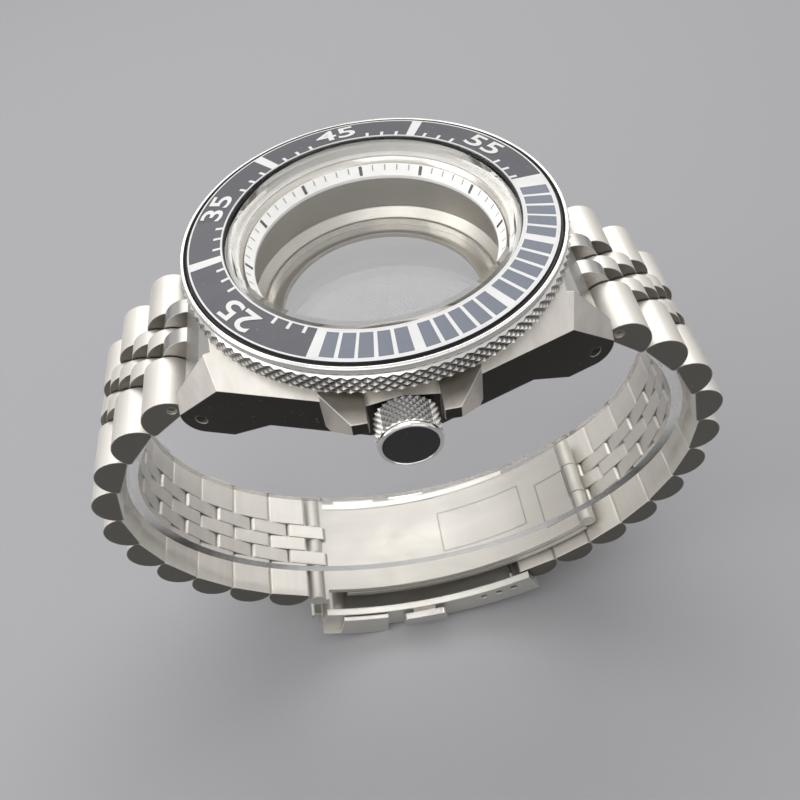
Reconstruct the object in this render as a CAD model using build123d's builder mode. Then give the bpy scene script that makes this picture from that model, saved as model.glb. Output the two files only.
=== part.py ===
from build123d import *
from math import acos, atan2, cos, degrees, pi, radians, sin, sqrt
import os

# Empty steel watch case with its five-link bracelet, fold-over clasp and clear former.
# X runs through the lugs, the crown points along -Y and the dial faces +Z.
# The origin is on the movement bore's axis, at the plane where the dial rests.

os.makedirs("parts", exist_ok=True)

# Fits
sliding_gap = 0.05
seat_gap = 0.02
running_gap = 0.08
piece_gap = 0.15
body_gap = 0.35
overrun = 1.0

# Case middle
dial_lip_radius = 13.9
movement_bore_radius = 14.9
dial_lip_height = 0.7
case_top = 2.0
case_floor = -5.6
lug_floor = -8.0
lug_width = 22.1
lug_tip_x = 24.0
lug_tip_y = 13.0
lug_tip_top = -5.5
lug_tip_low = -6.0
lug_toe_x = 21.8
lug_heel_x = 18.6
lug_root_x = 14.2
lug_slot_x = 18.9
shoulder_x = 8.3
shoulder_y = 18.6
shoulder_top = -0.8
far_flat_x = 4.2
far_flat_y = 20.1
ridge_x = 18.7
ridge_top = -0.7
crest_x = 19.7
crest_top = 1.1
back_relief_radius = 18.2
guard_top = 0.3
guard_tip_y = 23.3
guard_tip_x = 5.4
guard_inner_x = 3.75
guard_face_height = 1.5
guard_root_y = 19.4
guard_low = -4.8
crown_wall_y = 20.2

# Bezel post and crystal seat
post_radius = 17.7
post_top = 4.55
crystal_radius = 15.75
crystal_thickness = 2.8
crystal_bevel = 0.35
crystal_gasket_wall = 0.42
crystal_gasket_base = 0.23
crystal_gasket_lap = 0.7
chapter_outer_radius = 15.55
chapter_foot_radius = 13.75
chapter_crest_width = 0.5
chapter_height = 2.13
chapter_foot_height = 0.4
groove_height = 0.7
groove_depth = 0.5

# Bezel
bezel_radius = 21.5
bezel_lip_radius = 21.25
bezel_neck_radius = 21.1
bezel_lip_height = 0.75
bezel_lip_round = 0.3
bezel_lip_land = 0.6
bezel_top = 5.35
bezel_web = 0.5
knurl_height = 2.25
knurl_depth = 0.28
knurl_count = 90
insert_thickness = 0.7
insert_rise = 0.4
click_radius = 19.2
click_width = 0.8
click_height = 0.35
click_arc = 300

# Case back
back_radius = 18.0
back_floor = -7.5
back_edge_bevel = 0.6
back_window_radius = 12.0
back_glass_radius = 13.7
back_glass_thickness = 1.48
back_glass_ledge = 0.6
back_gasket_wall = 0.36
back_wall_radius = 15.2
back_skirt_radius = 16.2
back_skirt_height = 1.25
back_seal_radius = 17.2
back_seal_width = 0.6
back_seal_depth = 0.5
key_slot_count = 6
key_slot_length = 3.0
key_slot_width = 1.6
key_slot_depth = 0.8
key_slot_radius = 16.2

# Crown
crown_z = -2.1
crown_radius = 3.4
crown_inner_y = 21.3
crown_outer_y = 25.1
crown_knurl_depth = 0.24
crown_knurl_count = 36
crown_rim_width = 0.6
crown_rim_radius = 3.3
crown_disc_radius = 2.8
crown_disc_thickness = 0.35
crown_disc_sink = 0.12
crown_face_wall = 0.7
tube_radius = 1.6
tube_bore_radius = 1.15
tube_lip_radius = 0.8
tube_lip_width = 0.6
tube_inner_y = 15.4
tube_outer_y = 23.2
core_radius = 0.7
core_bore_radius = 0.45
core_inner_y = 15.0
core_head_radius = 1.5
crown_seal_width = 0.55
crown_seal_depth = 0.35
spring_wire_radius = 0.12
spring_coil_radius = 0.93
spring_turns = 6

# Lug bars and end links
lug_bar_x = 21.7
lug_bar_z = -5.9
lug_bar_radius = 0.9
lug_bar_tip_radius = 0.6
lug_bar_tip_reach = 1.6
end_link_outer_x = 23.0
end_link_top = 0.9
end_link_shelf_x = 20.4
end_link_shelf_top = 0.3
end_link_nose_top = -3.8
end_link_floor = -7.5

# Bracelet
pitch = 6.6
link_gap = 0.28
link_inner_depth = 1.25
link_height = 3.5
centre_link_height = 3.3
link_side_wall = 0.45
link_corner = 0.3
centre_link_width = 2.3
pin_radius = 0.5
pin_end_sink = 0.35
bracelet_width = 21.8
clasp_end_width = 18.4
first_pin_x = 25.4
first_pin_z = -6.9
left_rows = 10
right_rows = 11
loop_half_width_share = 5.955
loop_drop_share = 3.364
loop_left_depth_share = 5.03
loop_right_depth_share = 5.46

# Clasp
blade_thickness = 0.9
blade_width = 15.0
blade_bend_radius = 43.0
blade_end_length = 1.8
clasp_gap = 0.3
fold_pin_radius = 0.6
fold_barrel_radius = 1.25
fold_pin_share = 0.42
blade_knuckle_width = 5.0
cover_wall = 1.1
cover_base = 0.9
cover_wall_height = 3.5
cover_length = 32.0
cover_hinge_inset = 1.9
clasp_bar_hole_radius = 0.55
cover_hole_count = 3
cover_hole_step = 2.4
button_length = 6.4
button_height = 2.2
button_reach = 1.0
button_travel = 0.5
button_stem_length = 3.4
button_stem_height = 1.0
button_rise = 1.9
button_place_share = 0.47
lock_length = 9.4
lock_thickness = 0.6
lock_ear_wall = 0.7
lock_ear_height = 3.1
lock_ear_inset = 2.6
lock_barrel_radius = 0.65
lock_barrel_half_width = 5.5
lock_knuckle_width = 2.6
lock_pin_radius = 0.3
lock_pivot_out = 0.85

# Clear former inside the bracelet
former_wall = 1.5
former_width = 13.0
former_gap = 0.65
former_depth_share = 4.27
former_start_angle = 46.0
half_turn = 180

# Places worked out from the sizes above
half_slot = lug_width / 2
bezel_floor = case_top + sliding_gap
crystal_pocket_radius = crystal_radius + sliding_gap + crystal_gasket_wall
crystal_seat = dial_lip_height + seat_gap + chapter_height + sliding_gap
crystal_floor = crystal_seat + crystal_gasket_base + seat_gap
chapter_pocket_radius = chapter_outer_radius + sliding_gap
chapter_floor = dial_lip_height + seat_gap
bezel_bore_radius = post_radius + sliding_gap
insert_outer_radius = bezel_lip_radius - bezel_lip_round - bezel_lip_land
insert_inner_radius = crystal_pocket_radius + piece_gap
web_floor = post_top + sliding_gap
seat_inner_z = web_floor + bezel_web
seat_outer_z = seat_inner_z - insert_rise
back_seat = case_floor - running_gap
recess_radius = back_skirt_radius + sliding_gap + sliding_gap
recess_top = case_floor + back_skirt_height + piece_gap
glass_floor = back_floor + back_glass_ledge + seat_gap
side_width = (bracelet_width - 3 * centre_link_width - 4 * piece_gap) / 2
centre_block = bracelet_width / 2 - side_width
pin_hole_radius = pin_radius + sliding_gap
link_length = pitch - link_gap
lane_step = centre_link_width + piece_gap
link_end_reach = (link_length - pitch / 2) / 2
link_swing_radius = sqrt(link_end_reach ** 2 + (link_inner_depth - link_corner) ** 2)


def unit(vector):
    """Return the vector with length one."""
    return vector.normalized()


def flank_y(x):
    """Half width of the case on the straight flank between shoulder and lug tip."""
    return lug_tip_y + (lug_tip_x - x) * (shoulder_y - lug_tip_y) / (lug_tip_x - shoulder_x)


def facet_plane(first, second, third):
    """Plane through three points of a facet, with its normal pointing up."""
    normal = (second - first).cross(third - first)
    if normal.Z < 0:
        normal = normal * -1
    return Plane(origin=first, z_dir=normal)


def outline(points):
    """Add the face inside a closed outline of straight lines to the open sketch."""
    Polygon(*points, align=None)


def knurl_points(radius, depth, count):
    """Outline of a straight knurl: one ridge and one groove for each tooth."""
    points = []
    for step in range(2 * count):
        angle = pi * step / count
        reach = radius if step % 2 == 0 else radius - depth
        points.append((reach * cos(angle), reach * sin(angle)))
    return points


def save(builder, name):
    """Label a finished piece and write its file."""
    builder.part.label = name
    export_step(builder.part, f"parts/{name}.step")


# Crown guards

with BuildPart() as guards:
    with BuildSketch(Plane.XY.offset(guard_low)):
        for side in (1, -1):
            with BuildLine():
                Polyline(
                    (side * guard_inner_x, -crown_wall_y + overrun),
                    (side * guard_inner_x, -guard_tip_y),
                    (side * guard_tip_x, -guard_tip_y),
                    (side * shoulder_x, -shoulder_y),
                    (side * shoulder_x, -crown_wall_y + overrun + overrun),
                    close=True,
                )
            make_face()
    extrude(amount=guard_top - guard_low)
    with BuildSketch(Plane.YZ):
        with BuildLine():
            Polyline(
                (0, guard_top),
                (-guard_tip_y, guard_top),
                (-guard_tip_y, guard_top - guard_face_height),
                (-guard_root_y, guard_low),
                (0, guard_low),
                close=True,
            )
        make_face()
    extrude(amount=shoulder_x + overrun, both=True, mode=Mode.INTERSECT)

# Case middle

right_half = [
    (lug_slot_x, half_slot),
    (lug_tip_x, half_slot),
    (lug_tip_x, lug_tip_y),
    (shoulder_x, shoulder_y),
    (far_flat_x, far_flat_y),
]
crown_half = [
    (guard_inner_x, -crown_wall_y),
    (shoulder_x, -shoulder_y),
    (lug_tip_x, -lug_tip_y),
    (lug_tip_x, -half_slot),
    (lug_slot_x, -half_slot),
]
plan = crown_half + right_half
plan += [(-x, y) for x, y in reversed(plan)]

with BuildPart() as mid_case:
    with BuildSketch(Plane.XY.offset(lug_floor)):
        outline(plan)
    extrude(amount=case_top - lug_floor)
    with BuildSketch(Plane.XZ):
        for side in (1, -1):
            with BuildLine():
                top = Line((0, case_top), (side * lug_tip_x, case_top))
                tip = Line(top @ 1, (side * lug_tip_x, lug_tip_low))
                toe_middle = (
                    side * (lug_tip_x - (lug_tip_x - lug_toe_x) * (1 - sqrt(0.5))),
                    lug_floor + (lug_tip_low - lug_floor) * (1 - sqrt(0.5)),
                )
                toe = ThreePointArc(tip @ 1, toe_middle, (side * lug_toe_x, lug_floor))
                Polyline(
                    toe @ 1,
                    (side * lug_heel_x, lug_floor),
                    (side * lug_root_x, case_floor),
                    (0, case_floor),
                    (0, case_top),
                )
            make_face()
    extrude(amount=guard_tip_y, both=True, mode=Mode.INTERSECT)
    for side_x in (1, -1):
        for side_y in (1, -1):
            ridge = Vector(side_x * ridge_x, side_y * flank_y(ridge_x), ridge_top)
            shoulder = Vector(side_x * shoulder_x, side_y * shoulder_y, shoulder_top)
            crest = Vector(side_x * crest_x, side_y * half_slot, crest_top)
            tip_corner = Vector(side_x * lug_tip_x, side_y * lug_tip_y, lug_tip_top)
            split(bisect_by=facet_plane(ridge, shoulder, crest), keep=Keep.BOTTOM)
            split(bisect_by=facet_plane(crest, ridge, tip_corner), keep=Keep.BOTTOM)
    add(guards.part)
    with BuildSketch(Plane.XY.offset(case_top - overrun)):
        Circle(post_radius)
    extrude(amount=post_top - case_top + overrun)
    with BuildSketch(Plane.XZ):
        outline([
            (0, lug_floor - overrun),
            (back_relief_radius, lug_floor - overrun),
            (back_relief_radius, case_floor),
            (recess_radius, case_floor),
            (recess_radius, recess_top),
            (movement_bore_radius, recess_top),
            (movement_bore_radius, 0),
            (dial_lip_radius, 0),
            (dial_lip_radius, dial_lip_height),
            (chapter_pocket_radius, dial_lip_height),
            (chapter_pocket_radius, crystal_seat),
            (crystal_pocket_radius, crystal_seat),
            (crystal_pocket_radius, post_top + overrun),
            (0, post_top + overrun),
        ])
    revolve(axis=Axis.Z, mode=Mode.SUBTRACT)
    with BuildSketch(Plane.XZ):
        groove_floor = (case_top + post_top - groove_height) / 2
        with Locations((post_radius - groove_depth / 2, groove_floor + groove_height / 2)):
            Rectangle(groove_depth, groove_height)
        with Locations((back_seal_radius, case_floor + back_seal_depth / 2)):
            Rectangle(back_seal_width, back_seal_depth)
        with Locations((click_radius, case_top - click_height / 2)):
            Rectangle(click_width, click_height + sliding_gap + sliding_gap)
    revolve(axis=Axis.Z, mode=Mode.SUBTRACT)
    with BuildSketch(Plane.XZ):
        with Locations((0, crown_z)):
            Circle(tube_radius)
    extrude(amount=guard_tip_y, mode=Mode.SUBTRACT)
    with BuildSketch(Plane.XZ):
        for side in (1, -1):
            with Locations((side * lug_bar_x, lug_bar_z)):
                Circle(lug_bar_tip_radius + sliding_gap)
    extrude(amount=guard_tip_y, both=True, mode=Mode.SUBTRACT)
save(mid_case, "mid_case")

# Crown tube

with BuildPart() as crown_tube:
    with BuildSketch(Plane.XZ.offset(tube_inner_y)):
        with Locations((0, crown_z)):
            Circle(tube_radius)
            Circle(tube_lip_radius, mode=Mode.SUBTRACT)
    extrude(amount=tube_outer_y - tube_inner_y)
    with BuildSketch(Plane.XZ.offset(tube_inner_y + tube_lip_width)):
        with Locations((0, crown_z)):
            Circle(tube_bore_radius)
    extrude(amount=tube_outer_y - tube_inner_y, mode=Mode.SUBTRACT)
save(crown_tube, "crown_tube")

# Chapter ring, crystal and gaskets

with BuildPart() as chapter_ring:
    with BuildSketch(Plane.XZ):
        outline([
            (chapter_foot_radius, chapter_floor),
            (chapter_outer_radius, chapter_floor),
            (chapter_outer_radius, chapter_floor + chapter_height),
            (chapter_outer_radius - chapter_crest_width, chapter_floor + chapter_height),
            (chapter_foot_radius, chapter_floor + chapter_foot_height),
        ])
    revolve(axis=Axis.Z)
save(chapter_ring, "chapter_ring")

with BuildPart() as crystal:
    with BuildSketch(Plane.XY.offset(crystal_floor)):
        Circle(crystal_radius)
    extrude(amount=crystal_thickness)
    chamfer(crystal.edges().group_by(Axis.Z)[-1], crystal_bevel)
save(crystal, "crystal")

gasket_inner = crystal_radius + seat_gap
with BuildPart() as crystal_gasket:
    with BuildSketch(Plane.XZ):
        outline([
            (crystal_radius - crystal_gasket_lap, crystal_seat + seat_gap),
            (crystal_pocket_radius - seat_gap, crystal_seat + seat_gap),
            (crystal_pocket_radius - seat_gap, post_top - seat_gap),
            (gasket_inner, post_top - seat_gap),
            (gasket_inner, crystal_seat + crystal_gasket_base),
            (crystal_radius - crystal_gasket_lap, crystal_seat + crystal_gasket_base),
        ])
    revolve(axis=Axis.Z)
save(crystal_gasket, "crystal_gasket")

with BuildPart() as bezel_gasket:
    with BuildSketch(Plane.XZ):
        outline([
            (post_radius - groove_depth + seat_gap, groove_floor + seat_gap),
            (post_radius + seat_gap, groove_floor + seat_gap),
            (post_radius + seat_gap, groove_floor + groove_height - seat_gap),
            (post_radius - groove_depth + seat_gap, groove_floor + groove_height - seat_gap),
        ])
    revolve(axis=Axis.Z)
save(bezel_gasket, "bezel_gasket")

with BuildPart() as bezel_click_spring:
    with BuildSketch(Plane.XZ):
        with Locations((click_radius, case_top - click_height / 2 - sliding_gap)):
            Rectangle(click_width - sliding_gap - sliding_gap, click_height - sliding_gap)
    revolve(axis=Axis.Z, revolution_arc=click_arc)
save(bezel_click_spring, "bezel_click_spring")

# Bezel

with BuildPart() as bezel_ring:
    lip_low = bezel_top - bezel_lip_height
    with BuildSketch(Plane.XZ):
        outline([
            (bezel_bore_radius, bezel_floor),
            (bezel_neck_radius, bezel_floor),
            (bezel_neck_radius, lip_low),
            (bezel_lip_radius, lip_low + knurl_depth),
            (bezel_lip_radius, bezel_top - bezel_lip_round),
            (bezel_lip_radius - bezel_lip_round, bezel_top),
            (insert_outer_radius, bezel_top),
            (insert_outer_radius, seat_outer_z),
            (insert_inner_radius, seat_inner_z),
            (insert_inner_radius, web_floor),
            (bezel_bore_radius, web_floor),
        ])
    revolve(axis=Axis.Z)
    with BuildSketch(Plane.XY.offset(bezel_floor)):
        outline(knurl_points(bezel_radius, knurl_depth, knurl_count))
        Circle(bezel_bore_radius + click_width, mode=Mode.SUBTRACT)
    extrude(amount=knurl_height)
save(bezel_ring, "bezel_ring")

with BuildPart() as bezel_insert:
    with BuildSketch(Plane.XZ):
        outline([
            (insert_inner_radius + seat_gap, seat_inner_z + seat_gap),
            (insert_outer_radius - seat_gap, seat_outer_z + seat_gap),
            (insert_outer_radius - seat_gap, seat_outer_z + seat_gap + insert_thickness),
            (insert_inner_radius + seat_gap, seat_inner_z + seat_gap + insert_thickness),
        ])
    revolve(axis=Axis.Z)
save(bezel_insert, "bezel_insert")

# Case back

with BuildPart() as case_back_ring:
    ledge_top = back_floor + back_glass_ledge
    glass_pocket_radius = back_glass_radius + back_gasket_wall
    skirt_top = case_floor + back_skirt_height
    with BuildSketch(Plane.XZ):
        outline([
            (back_window_radius, back_floor),
            (back_radius - back_edge_bevel, back_floor),
            (back_radius, back_floor + back_edge_bevel),
            (back_radius, back_seat),
            (back_skirt_radius, back_seat),
            (back_skirt_radius, skirt_top),
            (back_wall_radius, skirt_top),
            (glass_pocket_radius, glass_floor + back_glass_thickness),
            (glass_pocket_radius, ledge_top),
            (back_window_radius, ledge_top),
        ])
    revolve(axis=Axis.Z)
    with BuildSketch(Plane.XY.offset(back_floor)):
        with PolarLocations(key_slot_radius, key_slot_count):
            Rectangle(key_slot_width, key_slot_length)
    extrude(amount=key_slot_depth, mode=Mode.SUBTRACT)
save(case_back_ring, "case_back_ring")

with BuildPart() as case_back_glass:
    with BuildSketch(Plane.XY.offset(glass_floor)):
        Circle(back_glass_radius)
    extrude(amount=back_glass_thickness - seat_gap)
save(case_back_glass, "case_back_glass")

with BuildPart() as case_back_glass_gasket:
    with BuildSketch(Plane.XY.offset(glass_floor)):
        Circle(back_glass_radius + back_gasket_wall - seat_gap)
        Circle(back_glass_radius + seat_gap, mode=Mode.SUBTRACT)
    extrude(amount=back_glass_thickness - sliding_gap)
save(case_back_glass_gasket, "case_back_glass_gasket")

with BuildPart() as case_back_gasket:
    with BuildSketch(Plane.XY.offset(case_floor)):
        Circle(back_seal_radius + back_seal_width / 2 - seat_gap)
        Circle(back_seal_radius - back_seal_width / 2 + seat_gap, mode=Mode.SUBTRACT)
    extrude(amount=back_seal_depth - seat_gap)
save(case_back_gasket, "case_back_gasket")

# Crown

crown_length = crown_outer_y - crown_inner_y
sleeve_depth = crown_length - crown_face_wall
seal_y = crown_inner_y + crown_rim_width
with BuildPart() as crown:
    with BuildSketch(Plane.XZ.offset(crown_inner_y)):
        with Locations((0, crown_z)):
            outline(knurl_points(crown_radius, crown_knurl_depth, crown_knurl_count))
    extrude(amount=crown_length - crown_rim_width)
    with BuildSketch(Plane.XZ.offset(crown_outer_y - crown_rim_width)):
        with Locations((0, crown_z)):
            Circle(crown_rim_radius)
    extrude(amount=crown_rim_width)
    with BuildSketch(Plane.XZ.offset(crown_outer_y - crown_disc_thickness - crown_disc_sink)):
        with Locations((0, crown_z)):
            Circle(crown_disc_radius + seat_gap)
    extrude(amount=crown_disc_thickness + crown_disc_sink, mode=Mode.SUBTRACT)
    with BuildSketch(Plane.XZ.offset(crown_inner_y)):
        with Locations((0, crown_z)):
            Circle(tube_radius + running_gap)
    extrude(amount=sleeve_depth - crown_face_wall, mode=Mode.SUBTRACT)
    with BuildSketch(Plane.XZ.offset(seal_y)):
        with Locations((0, crown_z)):
            Circle(tube_radius + running_gap + crown_seal_depth)
    extrude(amount=crown_seal_width, mode=Mode.SUBTRACT)
    with BuildSketch(Plane.XZ.offset(crown_inner_y)):
        with Locations((0, crown_z)):
            Circle(core_head_radius + running_gap)
    extrude(amount=sleeve_depth, mode=Mode.SUBTRACT)
save(crown, "crown")

with BuildPart() as crown_disc:
    with BuildSketch(Plane.XZ.offset(crown_outer_y - crown_disc_thickness - crown_disc_sink)):
        with Locations((0, crown_z)):
            Circle(crown_disc_radius)
    extrude(amount=crown_disc_thickness)
save(crown_disc, "crown_disc")

with BuildPart() as crown_gasket:
    with BuildSketch(Plane.XZ.offset(seal_y + seat_gap)):
        with Locations((0, crown_z)):
            Circle(tube_radius + running_gap + crown_seal_depth - seat_gap)
            Circle(tube_radius + running_gap, mode=Mode.SUBTRACT)
    extrude(amount=crown_seal_width - seat_gap - seat_gap)
save(crown_gasket, "crown_gasket")

core_head_y = crown_inner_y + sleeve_depth - sliding_gap
core_head_length = core_head_y - tube_outer_y - piece_gap
with BuildPart() as crown_core:
    with BuildSketch(Plane.XZ.offset(core_inner_y)):
        with Locations((0, crown_z)):
            Circle(core_radius)
    extrude(amount=core_head_y - core_inner_y)
    with BuildSketch(Plane.XZ.offset(core_head_y - core_head_length)):
        with Locations((0, crown_z)):
            Circle(core_head_radius)
    extrude(amount=core_head_length)
    with BuildSketch(Plane.XZ.offset(core_inner_y)):
        with Locations((0, crown_z)):
            Circle(core_bore_radius)
    extrude(amount=tube_outer_y - core_inner_y, mode=Mode.SUBTRACT)
save(crown_core, "crown_core")

spring_start_y = tube_inner_y + tube_lip_width + spring_wire_radius + seat_gap
spring_length = core_head_y - core_head_length - spring_wire_radius - seat_gap - spring_start_y
with BuildPart() as crown_spring:
    with BuildLine() as coil:
        Helix(
            pitch=spring_length / spring_turns,
            height=spring_length,
            radius=spring_coil_radius,
            center=(0, -spring_start_y, crown_z),
            direction=(0, -1, 0),
        )
    with BuildSketch(Plane(origin=coil.line @ 0, z_dir=coil.line % 0)):
        Circle(spring_wire_radius)
    sweep(path=coil.line)
save(crown_spring, "crown_spring")

# Lug bars

for side, side_name in ((-1, "left"), (1, "right")):
    with BuildPart() as lug_bar:
        with BuildSketch(Plane.XZ):
            with Locations((side * lug_bar_x, lug_bar_z)):
                Circle(lug_bar_radius)
        extrude(amount=half_slot - piece_gap, both=True)
        with BuildSketch(Plane.XZ):
            with Locations((side * lug_bar_x, lug_bar_z)):
                Circle(lug_bar_tip_radius)
        extrude(amount=half_slot + lug_bar_tip_reach, both=True)
    save(lug_bar, f"lug_bar_{side_name}")

# Bracelet rows

loop_half_width = pitch * loop_half_width_share
loop_centre_z = first_pin_z - pitch * loop_drop_share
loop_rise = (first_pin_z - loop_centre_z) / sqrt(1 - (first_pin_x / loop_half_width) ** 2)


def loop_point(angle, depth):
    """Point of the bracelet's pin line: half an ellipse above the widest place, half below."""
    reach = loop_rise if cos(angle) > 0 else depth
    return Vector(loop_half_width * sin(angle), 0, loop_centre_z + reach * cos(angle))


def pin_places(rows, depth):
    """Pins at equal spacing along the pin line, from the end link down to the clasp."""
    angle = acos((first_pin_z - loop_centre_z) / loop_rise)
    places = [loop_point(angle, depth)]
    for row in range(rows):
        low = angle
        high = angle + 1
        for halving in range(50):
            middle = (low + high) / 2
            if (loop_point(middle, depth) - places[-1]).length < pitch:
                low = middle
            else:
                high = middle
        angle = low
        places.append(loop_point(angle, depth))
    return places


left_pins = [Vector(-p.X, 0, p.Z) for p in pin_places(left_rows, pitch * loop_left_depth_share)]
right_pins = pin_places(right_rows, pitch * loop_right_depth_share)


def row_plane(start, end, side):
    """Plane of a row: X along the row, Y outwards from the wrist."""
    return Plane(origin=start, x_dir=unit(end - start), z_dir=(0, -side, 0))


def link_outline(middle, height):
    """Closed side view of a link: flat towards the wrist, low end walls, domed outside."""
    front_x = middle + link_length / 2
    back_x = middle - link_length / 2
    wall_top = link_side_wall - link_inner_depth
    Line((back_x + link_corner, -link_inner_depth), (front_x - link_corner, -link_inner_depth))
    Line((front_x - link_corner, -link_inner_depth), (front_x, link_corner - link_inner_depth))
    Line((front_x, link_corner - link_inner_depth), (front_x, wall_top))
    ThreePointArc((front_x, wall_top), (middle, height - link_inner_depth), (back_x, wall_top))
    Line((back_x, wall_top), (back_x, link_corner - link_inner_depth))
    Line((back_x, link_corner - link_inner_depth), (back_x + link_corner, -link_inner_depth))


def make_row(start, end, side, width, pin_shows, name):
    """One row: two side links with a centre link in step, and two centre links to the next row."""
    plane = row_plane(start, end, side)
    side_x = pitch / 4
    centre_x = pitch - side_x
    with BuildPart() as row:
        with BuildSketch(plane):
            with BuildLine() as side_outline:
                link_outline(side_x, link_height)
            make_face(side_outline.edges())
        extrude(amount=width / 2, both=True)
        with BuildSketch(plane):
            with Locations((side_x, 0)):
                Rectangle(link_length + overrun, 2 * link_height + overrun)
        extrude(amount=centre_block, both=True, mode=Mode.SUBTRACT)
        with BuildSketch(plane):
            for pin_x in (0, pitch / 2):
                with Locations((pin_x, 0)):
                    Circle(pin_hole_radius)
        extrude(amount=width / 2 - pin_end_sink, both=True, mode=Mode.SUBTRACT)
        if pin_shows:
            with BuildSketch(plane):
                Circle(pin_hole_radius)
            extrude(amount=width / 2 + overrun, both=True, mode=Mode.SUBTRACT)
        for lane, middle_x in ((-lane_step, centre_x), (0, side_x), (lane_step, centre_x)):
            with BuildSketch(plane.offset(lane)):
                with BuildLine() as centre_outline:
                    link_outline(middle_x, centre_link_height)
                make_face(centre_outline.edges())
                for pin_x in (middle_x - side_x, middle_x + side_x):
                    with Locations((pin_x, 0)):
                        Circle(pin_hole_radius, mode=Mode.SUBTRACT)
            extrude(amount=centre_link_width / 2, both=True)
        with BuildSketch(plane):
            for pin_x in (0, pitch / 2):
                with Locations((pin_x, 0)):
                    Circle(pin_radius)
        extrude(amount=width / 2 - pin_end_sink - seat_gap, both=True)
    save(row, name)


for side, side_name, pins in ((-1, "left", left_pins), (1, "right", right_pins)):
    rows = len(pins) - 1
    for index in range(rows):
        row_width = bracelet_width - (bracelet_width - clasp_end_width) * index / (rows - 1)
        row_name = f"link_{side_name}_{index + 1:02d}"
        make_row(pins[index], pins[index + 1], side, row_width, index == 0, row_name)

# End links: a solid nose behind each pair of lugs, with two tongues for the first row's pin

end_link_half_width = half_slot - piece_gap
for side, side_name, pins in ((-1, "left", left_pins), (1, "right", right_pins)):
    with BuildPart() as end_link:
        with BuildSketch(Plane.XZ):
            with BuildLine():
                Polyline(
                    (side * (lug_slot_x + piece_gap), end_link_top),
                    (side * end_link_shelf_x, end_link_shelf_top),
                    (side * end_link_outer_x, end_link_nose_top),
                    (side * end_link_outer_x, end_link_floor),
                    (side * (lug_slot_x + piece_gap), end_link_floor),
                    close=True,
                )
            make_face()
        extrude(amount=end_link_half_width, both=True)
        plane = row_plane(pins[0], pins[1], side)
        for lane in (-lane_step, lane_step):
            with BuildSketch(plane.offset(lane)):
                with BuildLine() as tongue_outline:
                    link_outline(-pitch / 4, centre_link_height)
                make_face(tongue_outline.edges())
            extrude(amount=centre_link_width / 2, both=True)
        with BuildSketch(Plane.XZ):
            with Locations((side * first_pin_x, first_pin_z)):
                Circle(pin_hole_radius)
            with Locations((side * lug_bar_x, lug_bar_z)):
                Circle(lug_bar_radius + sliding_gap)
        extrude(amount=end_link_half_width + overrun, both=True, mode=Mode.SUBTRACT)
    save(end_link, f"end_link_{side_name}")

# Clasp, laid out on arcs about one centre below which its layers stack outwards

inner_pin = left_pins[-1]
fold_row = right_pins[-4]
fold_heading = unit(right_pins[-3] - fold_row)
fold_outward = Vector(-fold_heading.Z, 0, fold_heading.X)
fold_inset = link_inner_depth + clasp_gap + blade_thickness + clasp_gap + blade_thickness / 2
fold_pin = fold_row + fold_heading * (pitch * fold_pin_share) - fold_outward * fold_inset
chord = fold_pin - inner_pin
chord_middle = (fold_pin + inner_pin) * 0.5
chord_up = Vector(-chord.Z, 0, chord.X).normalized()
arc_height = sqrt(blade_bend_radius ** 2 - (chord.length / 2) ** 2)
arc_centre = chord_middle + chord_up * arc_height
inner_blade_low = blade_bend_radius - blade_thickness / 2
middle_blade_low = inner_blade_low + blade_thickness + clasp_gap


def arc_angle(point):
    """Angle of a point about the clasp's centre, in degrees from straight down."""
    return degrees(atan2(point.X - arc_centre.X, arc_centre.Z - point.Z))


def arc_point(radius, angle):
    """Point at a radius and an angle from straight down, in X and Z."""
    turn = radians(angle)
    return (arc_centre.X + radius * sin(turn), arc_centre.Z - radius * cos(turn))


def arc_band(low_radius, high_radius, start, end):
    """Face between two radii and two angles about the clasp's centre."""
    middle = (start + end) / 2
    with BuildLine() as band:
        low = ThreePointArc(
            arc_point(low_radius, start), arc_point(low_radius, middle), arc_point(low_radius, end)
        )
        high = ThreePointArc(
            arc_point(high_radius, start), arc_point(high_radius, middle), arc_point(high_radius, end)
        )
        Line(low @ 0, high @ 0)
        Line(low @ 1, high @ 1)
    make_face(band.edges())


def turn_of(length):
    """Angle that a length spans on the blades' arc."""
    return degrees(length / blade_bend_radius)


inner_angle = arc_angle(inner_pin)
fold_angle = arc_angle(fold_pin)
cover_start = inner_angle + turn_of(blade_end_length)
hinge_angle = cover_start + turn_of(cover_hinge_inset)
cover_end = cover_start + turn_of(cover_length)
cover_low = middle_blade_low + blade_thickness + clasp_gap + link_height + clasp_gap
hinge_radius = cover_low - fold_barrel_radius - piece_gap
cover_hinge = Vector(*[arc_point(hinge_radius, hinge_angle)[0], 0, arc_point(hinge_radius, hinge_angle)[1]])
half_blade = blade_width / 2
half_knuckle = blade_knuckle_width / 2

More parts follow.
